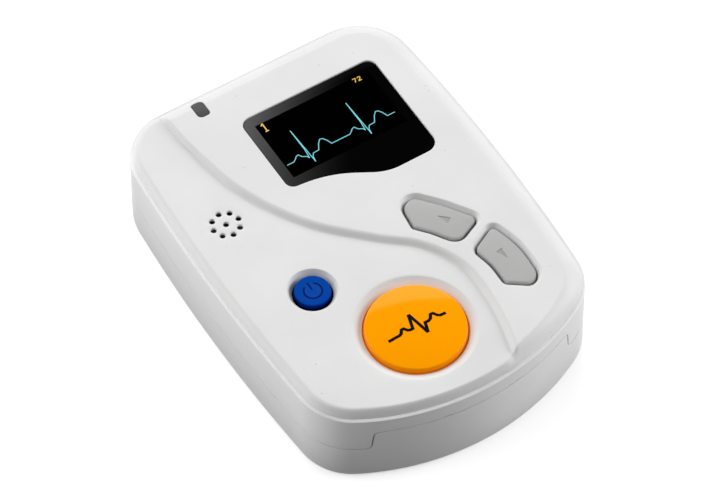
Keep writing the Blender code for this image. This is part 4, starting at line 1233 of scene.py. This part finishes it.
def make_lens():
    """The display lens: printed border and dark image area."""
    low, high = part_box("display_lens")
    edge = 0.25 * mm
    steps = [(0, low.z), (0, high.z - edge)]
    steps += [(-edge * inward, high.z - edge * down) for inward, down in quarter_round(5)[1:]]
    rings = [at_height(form_outline(lens, grow, 10), z) for grow, z in steps]
    shape = bmesh.new()
    skin(shape, rings, bottom=True)
    top = flat(rings[-1])
    add_sheet(shape, [top, round_rectangle(image_low, image_high, 0.15 * mm)], within(top), level(high.z))
    item = object_from("display_window", shape, 40)
    dark = plastic("image_black", (0.0003, 0.0003, 0.0003), 0.2, grain=0.0, specular=0.001, wear=0.0)
    paint(item, lens_border(), dark)
    for face in item.data.polygons:
        x, y, z = face.center
        in_image = image_low[0] < x < image_high[0] and image_low[1] < y < image_high[1]
        if face.normal.z > 0.99 and z > high.z - 0.01 * mm and in_image:
            face.material_index = 1
    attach(item, "case")
    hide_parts("display_lens")


def draw_lit(name, strokes, height, finish):
    """Lit lines on the lens, from the width and the points of each stroke, in mm."""
    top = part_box("display_lens")[1].z + ink_rise
    shape = bmesh.new()
    for width, stroke in strokes:
        ribbon(shape, [Vector((x * mm, y * mm)) for x, y in stroke], width * mm, height * mm, top)
    item = object_from(name, shape, 60)
    paint(item, finish)
    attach(item, "case")


def make_trace():
    """The lit trace: two beats on a flat line."""
    base = 22.67
    beat = [
        (-4.0, 0.0), (-3.3, 0.5), (-2.7, 1.1), (-2.1, 1.25), (-1.5, 0.3), (-0.5, -0.25),
        (-0.25, -0.9), (0.05, 1.8), (0.0, 8.3), (0.45, -2.55), (0.65, -1.0), (1.25, -0.17),
        (2.8, -0.05), (3.75, 1.6), (4.6, 2.5), (5.25, 2.35), (5.9, 1.4), (6.4, 0.0),
    ]
    path = [(-6.6, base)]
    for start in (-0.75, 14.67):
        path += [(start + x, base + y) for x, y in beat]
    path.append((23.1, base))
    draw_lit("display_trace", [(0.2, path)], 0.03, glow("trace_cyan", (0.21, 0.80, 0.88)))


def make_readings():
    """The two small lit readings, drawn in strokes."""
    one = [(0.0, 1.9), (0.55, 2.5), (0.55, 0.0)]
    foot = [(0.1, 0.0), (1.0, 0.0)]
    seven = [(0.0, 1.1), (0.8, 1.1), (0.3, 0.0)]
    two = [(1.2, 0.85), (1.45, 1.1), (1.85, 1.08), (2.0, 0.8), (1.8, 0.5), (1.2, 0.0), (2.05, 0.0)]
    left = (-5.85, 33.75, 0.3)
    right = (19.6, 35.0, 0.2)
    strokes = []
    for stroke, (x, y, width) in ((one, left), (foot, left), (seven, right), (two, right)):
        strokes.append((width, [(x + u, y + v) for u, v in stroke]))
    draw_lit("display_readings", strokes, 0.02, glow("reading_yellow", (0.95, 0.66, 0.06)))


def make_indicator():
    """The smoky window, shaped to the crown, with a softened edge."""
    edge = 0.18 * mm
    sunk = 0.06 * mm

    def lid(x, y):
        return crown_height(case_inset(x, y), x, y) - sunk

    rings = [at_height(pipe_outline(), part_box("indicator_light_pipe")[0].z)]
    for inward, down in quarter_round(4):
        rings.append(draped(pipe_outline(-edge * inward), lambda x, y: lid(x, y) - edge * down))
    shape = bmesh.new()
    skin(shape, rings, bottom=True)
    top = pipe_outline(-edge)
    spots = [p for inset in (0.3 * mm, 0.48 * mm) for p in pipe_outline(-inset - edge)]
    add_sheet(shape, [top], within(top), lid, spots=spots)
    item = object_from("indicator_window", shape, 40)
    paint(item, plastic("smoky_grey", (0.075, 0.075, 0.077), 0.3, grain=0.03, specular=0.08))
    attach(item, "case")
    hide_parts("indicator_light_pipe")


# Socket, cells and card

def make_socket():
    """The lead socket: a moulded shell with a flared mouth, drawn upright and then laid down."""
    low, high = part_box("lead_socket")
    upright = ((low.x, low.z, -high.y), (high.x, high.z, -low.y))
    item = soft_box("lead_socket_shell", *upright, 0.2 * mm, 0.6 * mm)
    shell = 0.9 * mm
    flare = 0.35
    key_places = (-7.5 * mm, 7.5 * mm)
    key_depth = 8 * mm
    bore_low = (low.x + shell, low.z + shell)
    bore_high = (high.x - shell, high.z - shell)
    rings = []
    for grow, depth in ((flare, -1.0), (flare, 0.0), (0.0, 0.45), (0.0, 9.5)):
        path = round_rectangle(bore_low, bore_high, 0.35 * mm, grow * mm)
        rings.append(at_height(path, -high.y + depth * mm))
    cut(item, loft("bore", rings))
    for x in key_places:
        slot_low = (x - shell, bore_low[1] - 0.5 * mm)
        slot = round_rectangle(slot_low, (x + shell, bore_low[1] + 1 * mm), 0.2 * mm)
        cut(item, prism("key", slot, -high.y - 1 * mm, -high.y + key_depth))
    item.data.transform(Matrix(((1, 0, 0, 0), (0, 0, -1, 0), (0, 1, 0, 0), (0, 0, 0, 1))))
    paint(item, plastic("socket_black", (0.022, 0.022, 0.024), 0.42, grain=0.08), sharp=35)
    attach(item, "case")
    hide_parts("lead_socket")


def make_cells():
    """Two cells in plain sleeves, with their caps."""
    cap_height = 1.0 * mm
    foot_dish = 0.25 * mm
    edge = 0.5 * mm
    groove = 0.3 * mm
    for number, side in ((1, 1), (2, -1)):
        node = f"battery_cell_{number}"
        low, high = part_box(node)
        radius = (high.z - low.z) / 2
        length = high.x - low.x
        body = length - cap_height
        points = [
            (0, foot_dish), (4.2 * mm, foot_dish), (4.6 * mm, 0), (radius - 0.9 * mm, 0),
            (radius, edge), (radius, body - edge), (radius - 0.7 * mm, body),
            (3.9 * mm, body - 0.05 * mm), (3.7 * mm, body - groove), (2.75 * mm, body - groove),
            (2.65 * mm, length - groove), (2.3 * mm, length), (0, length),
        ]
        item = turned(f"{node}_sleeve", points, 72, 35)
        item.rotation_euler = (0, side * math.pi / 2, 0)
        centre = (low + high) / 2
        item.location = (low.x if side > 0 else high.x, centre.y, centre.z)
        paint(item, cell_sleeve(f"sleeve_{number}", body))
        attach(item, "case")
        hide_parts(node)


def make_springs():
    """The two conical battery springs as fine wire."""
    wire = 0.7 * mm
    turns = 3.5
    count = 100
    for number, side in ((1, -1), (2, 1)):
        node = f"battery_spring_{number}"
        low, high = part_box(node)
        cell_low, cell_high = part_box(f"battery_cell_{number}")
        centre = (cell_low + cell_high) / 2
        data = bpy.data.curves.new(f"{node}_wire", "CURVE")
        data.dimensions = "3D"
        data.bevel_depth = wire / 2
        data.bevel_resolution = 4
        data.use_fill_caps = True
        coil = data.splines.new("POLY")
        coil.points.add(count)
        start = high.x - wire / 2 if side > 0 else low.x + wire / 2
        reach = high.x - low.x - wire
        for k in range(count + 1):
            share = k / count
            spot = polar((centre.y, centre.z), (3.6 - 1.4 * share) * mm, 2 * math.pi * turns * share)
            coil.points[k].co = (start - side * reach * share, *spot, 1)
        item = new_object(f"{node}_wire", data)
        paint(item, metal("spring_nickel", (0.72, 0.70, 0.65), 0.22))
        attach(item, "case")
        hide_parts(node)


def make_card():
    """The memory card with its cut corner and finger ridges."""
    low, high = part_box("memory_card")
    cutoff = 4.1 * mm
    corners = [
        (low.x, low.y), (high.x - cutoff, low.y), (high.x, low.y + cutoff),
        (high.x, high.y), (low.x, high.y),
    ]
    bevel = ((0.18, 0.0), (0.05, 0.05), (0.0, 0.18))
    steps = [(inset, low.z + height * mm) for inset, height in bevel]
    steps += [(inset, high.z - height * mm) for inset, height in bevel[::-1]]
    rings = [at_height(rounded_outline(corners, [0.5 * mm] * 5, -inset * mm, 4), z) for inset, z in steps]
    item = loft("memory_card_body", rings)
    for number in range(4):
        x = low.x + (1.1 + 0.9 * number) * mm
        start = (x - 0.2 * mm, low.y + 5 * mm, low.z - 1 * mm)
        end = (x + 0.2 * mm, high.y - 5 * mm, low.z + 0.2 * mm)
        cut(item, soft_box("ridge", start, end, 0.05 * mm, 0.19 * mm, 2))
    paint(item, plastic("card_black", (0.02, 0.021, 0.026), 0.45, grain=0.1), sharp=30)
    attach(item, "memory_card")
    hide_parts("memory_card")


# Materials

class Finish:
    """A node material with its shader and its object coordinates. Colours go in without alpha."""

    def __init__(self, name):
        self.material = bpy.data.materials.new(name)
        self.material.use_nodes = True
        self.tree = self.material.node_tree
        self.shader = self.tree.nodes["Principled BSDF"]
        self.where = self.add("TexCoord")["Object"]

    def feed(self, item, values):
        """Links or sets a node's inputs."""
        for key, value in values.items():
            socket = item.inputs[key]
            if isinstance(value, bpy.types.NodeSocket):
                self.tree.links.new(value, socket)
            else:
                socket.default_value = (*value, 1) if socket.type == "RGBA" else value

    def shade(self, values):
        """Links or sets the shader's inputs."""
        self.feed(self.shader, values)
        return self

    def add(self, kind, values=(), **settings):
        """Adds a node, sets it up, and gives back its outputs."""
        item = self.tree.nodes.new("ShaderNode" + kind)
        for key, value in settings.items():
            setattr(item, key, value)
        self.feed(item, dict(values))
        return item.outputs

    def noise(self, scale, detail, where=None):
        """Cloudy noise."""
        return self.add("TexNoise", {"Vector": where or self.where, "Scale": scale, "Detail": detail})[0]

    def axis(self, number):
        """One of the object coordinates."""
        return self.add("SeparateXYZ", {0: self.where})[number]

    def calc(self, operation, first, second):
        """Arithmetic on two values."""
        return self.add("Math", {0: first, 1: second}, operation=operation)[0]

    def mix(self, share, first, second):
        """Mixes two colours."""
        return self.add("Mix", {0: share, 6: first, 7: second}, data_type="RGBA")[2]

    def scaled(self, value, low, high, from_low=0, from_high=1):
        """Maps a value from one range to another."""
        return self.add("MapRange", {0: value, 1: from_low, 2: from_high, 3: low, 4: high})[0]

    def bumped(self, height, strength, depth):
        """Raises the surface by a height."""
        bump = self.add("Bump", {"Height": height, "Strength": strength, "Distance": depth})
        return self.shade({"Normal": bump[0]})


def plastic(name, colour, roughness, grain=0.1, specular=0.5, wear=0.25):
    """A moulded plastic: slight mottling, uneven sheen, fine texture and edge wear."""
    finish = Finish(name)
    cloud = finish.noise(90, 4)
    base = finish.mix(cloud, [c * 0.93 for c in colour], [min(1, c * 1.05) for c in colour])
    edges = finish.add("NewGeometry")["Pointiness"]
    pale = [min(1, c * 1.15 + 0.02) for c in colour]
    finish.shade({
        "Base Color": finish.mix(finish.scaled(edges, 0, wear, 0.52, 0.62), base, pale),
        "Roughness": finish.scaled(cloud, roughness * 0.88, roughness * 1.12, 0.3, 0.7),
        "Specular IOR Level": specular,
    })
    if grain:
        finish.bumped(finish.noise(5200, 2), grain, 0.03 * mm)
    return finish


def white_plastic(name, seed, with_lip_highlight=False):
    """The white shell: spark-textured, with faint mottling, specks, painted shade in its creases, and a
    painted highlight on the lip where asked.
    """
    dull_white = (0.755, 0.757, 0.755)
    fresh_white = (0.80, 0.80, 0.797)
    # Painted highlight colour for the lip.
    lip_highlight_white = (0.95, 0.95, 0.948)
    speck_grey = (0.46, 0.45, 0.44)
    # Painted shade colour for the creases.
    crease_shade_grey = (0.50, 0.49, 0.47)
    finish = Finish(name)
    shift = {"Vector": finish.where, "Location": (seed, seed * 1.7, seed * 0.6)}
    where = finish.add("Mapping", shift)[0]
    cloud = finish.noise(45, 5, where)
    base = finish.mix(finish.scaled(cloud, 0, 1, 0.35, 0.65), dull_white, fresh_white)
    # Painted highlight: the lip is painted paler, fading out along a slant across the case.
    if with_lip_highlight:
        toward = finish.add("VectorMath", {0: finish.where, 1: (0.8, 0.6, 0)}, operation="DOT_PRODUCT")[1]
        base = finish.mix(finish.scaled(toward, 1, 0, -4 * mm, 14 * mm), base, lip_highlight_white)
    specks = finish.add("TexVoronoi", {"Vector": where, "Scale": 330, "Randomness": 1.0})
    speck = finish.scaled(specks["Distance"], 0.55, 0, 0.04, 0.085)
    pick = finish.add("SeparateColor", {0: specks["Color"]})[0]
    both = finish.calc("MULTIPLY", speck, finish.scaled(pick, 0, 1, 0.78, 0.79))
    base = finish.mix(both, base, speck_grey)
    # Painted shade: creases, where pointiness is low, are painted grey.
    edges = finish.add("NewGeometry")["Pointiness"]
    finish.shade({
        "Base Color": finish.mix(finish.scaled(edges, 0.16, 0, 0.40, 0.485), base, crease_shade_grey),
        "Roughness": finish.scaled(cloud, 0.40, 0.50, 0.3, 0.7),
        "Specular IOR Level": 0.45,
    })
    return finish.bumped(finish.noise(4200, 3, where), 0.16, 0.03 * mm)


def orange_plastic():
    """The glossy orange cap: a warm moulded body with a faint painted glow, painted shade below its rim, and
    fine scuffs.
    """
    finish = Finish("event_orange")
    face = finish.mix(finish.noise(70, 3), (0.98, 0.345, 0.0), (1.0, 0.375, 0.0))
    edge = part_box("event_button")[1].z - 0.82 * mm
    # Painted shade: the side below the rim is painted a darker orange.
    below = finish.scaled(finish.axis(2), 1, 0, edge - 0.16 * mm, edge)
    stretch = {"Vector": finish.where, "Scale": (60, 900, 60), "Rotation": (0, 0, 0.6)}
    scuffs = finish.noise(8, 4, finish.add("Mapping", stretch)[0])
    finish.shade({
        "Base Color": finish.mix(below, face, (0.90, 0.28, 0.0)),
        "Roughness": finish.scaled(scuffs, 0.06, 0.13, 0.4, 0.75),
        "Specular IOR Level": 0.3,
        "Specular Tint": (1.0, 0.55, 0.12),
        # Painted glow: a faint orange emission, though the cap is no lamp.
        "Emission Color": (1.0, 0.15, 0.0),
        "Emission Strength": 0.09,
    })
    return finish.bumped(scuffs, 0.02, 0.01 * mm)


def blue_plastic(edge):
    """The satin blue cap, with painted shade down its side and a painted shadow in the gap."""
    finish = plastic("power_blue", (0.0, 0.058, 0.37), 0.45, grain=0.05, specular=0.02)
    face = finish.shader.inputs["Base Color"].links[0].from_socket
    height = finish.axis(2)
    # Painted shade: the side is painted darker navy below the face's edge.
    side = finish.mix(finish.scaled(height, 1, 0, edge - 0.35 * mm, edge), face, (0.0, 0.012, 0.15))
    # Painted shadow: the side's lower part, in the gap, is painted near black.
    painted_gap_shadow = finish.scaled(height, 1, 0, edge - 1.3 * mm, edge - 1.05 * mm)
    return finish.shade({"Base Color": finish.mix(painted_gap_shadow, side, (0.0, 0.0005, 0.004))})


def lens_border():
    """The lens's printed border: near black, with a painted reflection that makes it greyer towards its left
    end.
    """
    finish = Finish("lens_border")
    low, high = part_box("display_lens")
    slant = 0.6185
    # Painted reflection: a grey that rises towards the border's left end along a slant.
    across = finish.calc("ADD", finish.axis(0), finish.calc("MULTIPLY", finish.axis(1), -slant))
    left_end = low.x - slant * high.y
    even = finish.scaled(across, 1, 0, left_end, left_end + 33.5 * mm)
    noise = finish.noise(900, 2)
    grey = finish.mix(noise, (0.115, 0.115, 0.115), (0.127, 0.127, 0.127))
    return finish.shade({
        "Base Color": finish.mix(finish.calc("POWER", even, 2.2), (0.0015, 0.0015, 0.0015), grey),
        "Roughness": finish.scaled(noise, 0.06, 0.09),
        "Specular IOR Level": 0.004,
    })


def glow(name, colour):
    """A lit part of the display image, with slight unevenness from pixel to pixel."""
    finish = Finish(name)
    cells = finish.add("TexVoronoi", {"Vector": finish.where, "Scale": 6000})
    return finish.shade({
        "Emission Color": finish.mix(cells["Distance"], colour, [c * 0.82 for c in colour]),
        "Emission Strength": 1.0,
        "Base Color": (0.01, 0.01, 0.01),
        "Roughness": 0.3,
        "Specular IOR Level": 0.1,
    })


def metal(name, colour, roughness):
    """A plated metal with fine drawing marks and stains."""
    finish = Finish(name)
    stretch = {"Vector": finish.where, "Scale": (200, 2600, 2600)}
    marks = finish.noise(1, 4, finish.add("Mapping", stretch)[0])
    finish.shade({
        "Base Color": finish.mix(finish.noise(300, 4), colour, [c * 0.78 for c in colour]),
        "Metallic": 1,
        "Roughness": finish.scaled(marks, roughness * 0.7, roughness * 1.4, 0.3, 0.7),
    })
    return finish.bumped(marks, 0.08, 0.01 * mm)


def cell_sleeve(name, body):
    """A plain two-colour sleeve between bare metal ends."""
    finish = Finish(name)
    squares = [finish.calc("MULTIPLY", finish.axis(k), finish.axis(k)) for k in (0, 1)]
    outside = finish.calc("GREATER_THAN", finish.calc("ADD", *squares), (6.6 * mm) ** 2)
    band = finish.calc("GREATER_THAN", finish.axis(2), body * 0.72)
    stain = finish.noise(400, 3)
    sleeve = finish.mix(band, (0.012, 0.085, 0.045), (0.62, 0.62, 0.60))
    steel = finish.mix(stain, (0.62, 0.61, 0.58), (0.48, 0.47, 0.45))
    return finish.shade({
        "Base Color": finish.mix(outside, steel, sleeve),
        "Metallic": finish.scaled(outside, 1, 0),
        "Roughness": finish.scaled(stain, 0.2, 0.34),
    })


def board_mask(name):
    """Green solder mask with faint copper runs under it."""
    finish = Finish(name)
    runs = finish.add("TexBrick", {
        "Vector": finish.where, "Scale": 420, "Color1": (0.018, 0.17, 0.06), "Color2": (0.03, 0.22, 0.08),
        "Mortar": (0.01, 0.11, 0.04), "Mortar Size": 0.03,
    })
    cloud = finish.noise(150, 3)
    return finish.shade({
        "Base Color": finish.mix(cloud, runs[0], (0.02, 0.16, 0.06)),
        "Roughness": finish.scaled(cloud, 0.25, 0.4),
    })


def finish_inner_nodes():
    """Gives every carried-over node its finish."""
    black = plastic("inner_black", (0.03, 0.03, 0.03), 0.5)
    cream = plastic("plunger_cream", (0.58, 0.55, 0.46), 0.45)
    tin = metal("tin_plate", (0.68, 0.68, 0.66), 0.3)
    nickel = metal("contact_nickel", (0.72, 0.70, 0.65), 0.25)
    finishes = {
        "main_board": board_mask("board_green"),
        "lens_gasket": plastic("gasket_foam", (0.03, 0.03, 0.03), 0.85, grain=0.5),
        "display_panel": plastic("panel_glass", (0.015, 0.015, 0.02), 0.08, grain=0.0),
        "display_flex": plastic("flex_amber", (0.42, 0.19, 0.03), 0.35, grain=0.03),
        "indicator_led": plastic("lamp_clear", (0.7, 0.75, 0.6), 0.15, grain=0.0),
        "lead_socket_pins": metal("pin_gold", (0.85, 0.62, 0.24), 0.2),
    }
    switches = [f"{name}_switch" for name in ("event", "power", "up", "down")]
    for nodes, finish in (
        (["display_bracket", "processor_chip", "memory_chip", "sounder"] + switches, black),
        ([f"{switch}_plunger" for switch in switches], cream),
        (["clock_crystal", "input_shield", "clock_cell", "card_socket"], tin),
        (["bridge_contact", "minus_contact", "plus_contact"], nickel),
    ):
        finishes.update({node: finish for node in nodes})
    for node, finish in finishes.items():
        paint(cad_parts[node], finish)


# Stage

def make_floor():
    """A plain white floor that glows a little, like a light table, and throws no light on the case."""
    shape = bmesh.new()
    bmesh.ops.create_grid(shape, x_segments=1, y_segments=1, size=3)
    floor = object_from("floor", shape)
    floor.location.z = -0.05 * mm
    finish = Finish("floor_pale")
    finish.shade({
        "Base Color": finish.mix(finish.noise(12, 3), (0.82, 0.82, 0.82), (0.84, 0.84, 0.84)),
        "Roughness": 0.9,
        "Specular IOR Level": 0.0,
        "Emission Color": (1, 1, 1),
        "Emission Strength": 0.5,
    })
    paint(floor, finish)
    floor.visible_diffuse = False


def area_light(name, size, power):
    """A rectangular light."""
    data = bpy.data.lights.new(name, "AREA")
    data.shape = "RECTANGLE"
    data.size, data.size_y = size
    data.energy = power
    return new_object(name, data)


def face_towards(item, stand, aim=Vector((0, 0, 0))):
    """Puts a light or the camera at a spot, and turns it towards another."""
    item.location = stand
    item.rotation_euler = (aim - stand).to_track_quat("-Z", "Y").to_euler()


def make_softbox(name, azimuth, elevation, distance, size, power):
    """A softbox that faces the case from a compass direction and height."""
    rise = math.radians(elevation)
    ground = polar((0, 0), distance * math.cos(rise), math.radians(azimuth))
    face_towards(area_light(name, size, power), Vector((*ground, distance * math.sin(rise))))


def make_panel(name, low, high, power):
    """A lit panel that lies on the floor beside the case and shines up at its walls."""
    item = area_light(name, (high[0] - low[0], high[1] - low[1]), power)
    item.location = ((low[0] + high[0]) / 2, (low[1] + high[1]) / 2, 2 * mm)
    item.rotation_euler = (math.pi, 0, 0)
    item.visible_camera = False
    item.visible_glossy = False


def make_lights():
    """Softboxes behind, at both sides and high on the left, and floor panels, in a dim room."""
    world = bpy.data.worlds.new("studio")
    world.use_nodes = True
    world.node_tree.nodes["Background"].inputs[0].default_value = (1, 1, 1, 1)
    world.node_tree.nodes["Background"].inputs[1].default_value = 0.13
    bpy.context.scene.world = world
    make_softbox("back_box", 76, 33, 1.1, (1.1, 0.62), 8.2)
    make_softbox("high_left_box", 165, 60, 1.0, (0.6, 0.6), 2.75)
    make_softbox("left_box", 150, 20, 1.0, (0.7, 0.5), 3.4)
    make_softbox("right_box", 335, 20, 1.0, (0.7, 0.5), 7.5)
    make_panel("left_panel", (-0.40, -0.12), (-0.06, 0.2), 0.25)
    make_panel("front_panel", (0.0, -0.4), (0.3, -0.06), 0.11)


def make_camera():
    """The photograph's camera, solved from the case outline, with plain display colours."""
    data = bpy.data.cameras.new("camera")
    data.lens = 292.69
    data.sensor_width = 36
    data.clip_start = 0.01
    data.clip_end = 20
    item = new_object("camera", data)
    stand = Vector((-0.42374, -0.68077, 1.1252))
    aim = Vector((-0.00477, -0.00666, 0.0248))
    face_towards(item, stand, aim)
    bpy.context.scene.camera = item
    bpy.context.scene.view_settings.view_transform = "Standard"


make_camera()
make_lights()
make_floor()
make_front_cover()
make_front_bosses()
make_rear_cover()
make_battery_door()
make_screws()
make_event_button()
make_power_button()
make_key("up_key", up_key)
make_key("down_key", down_key)
make_lens()
make_trace()
make_readings()
make_indicator()
make_socket()
make_cells()
make_springs()
make_card()
finish_inner_nodes()
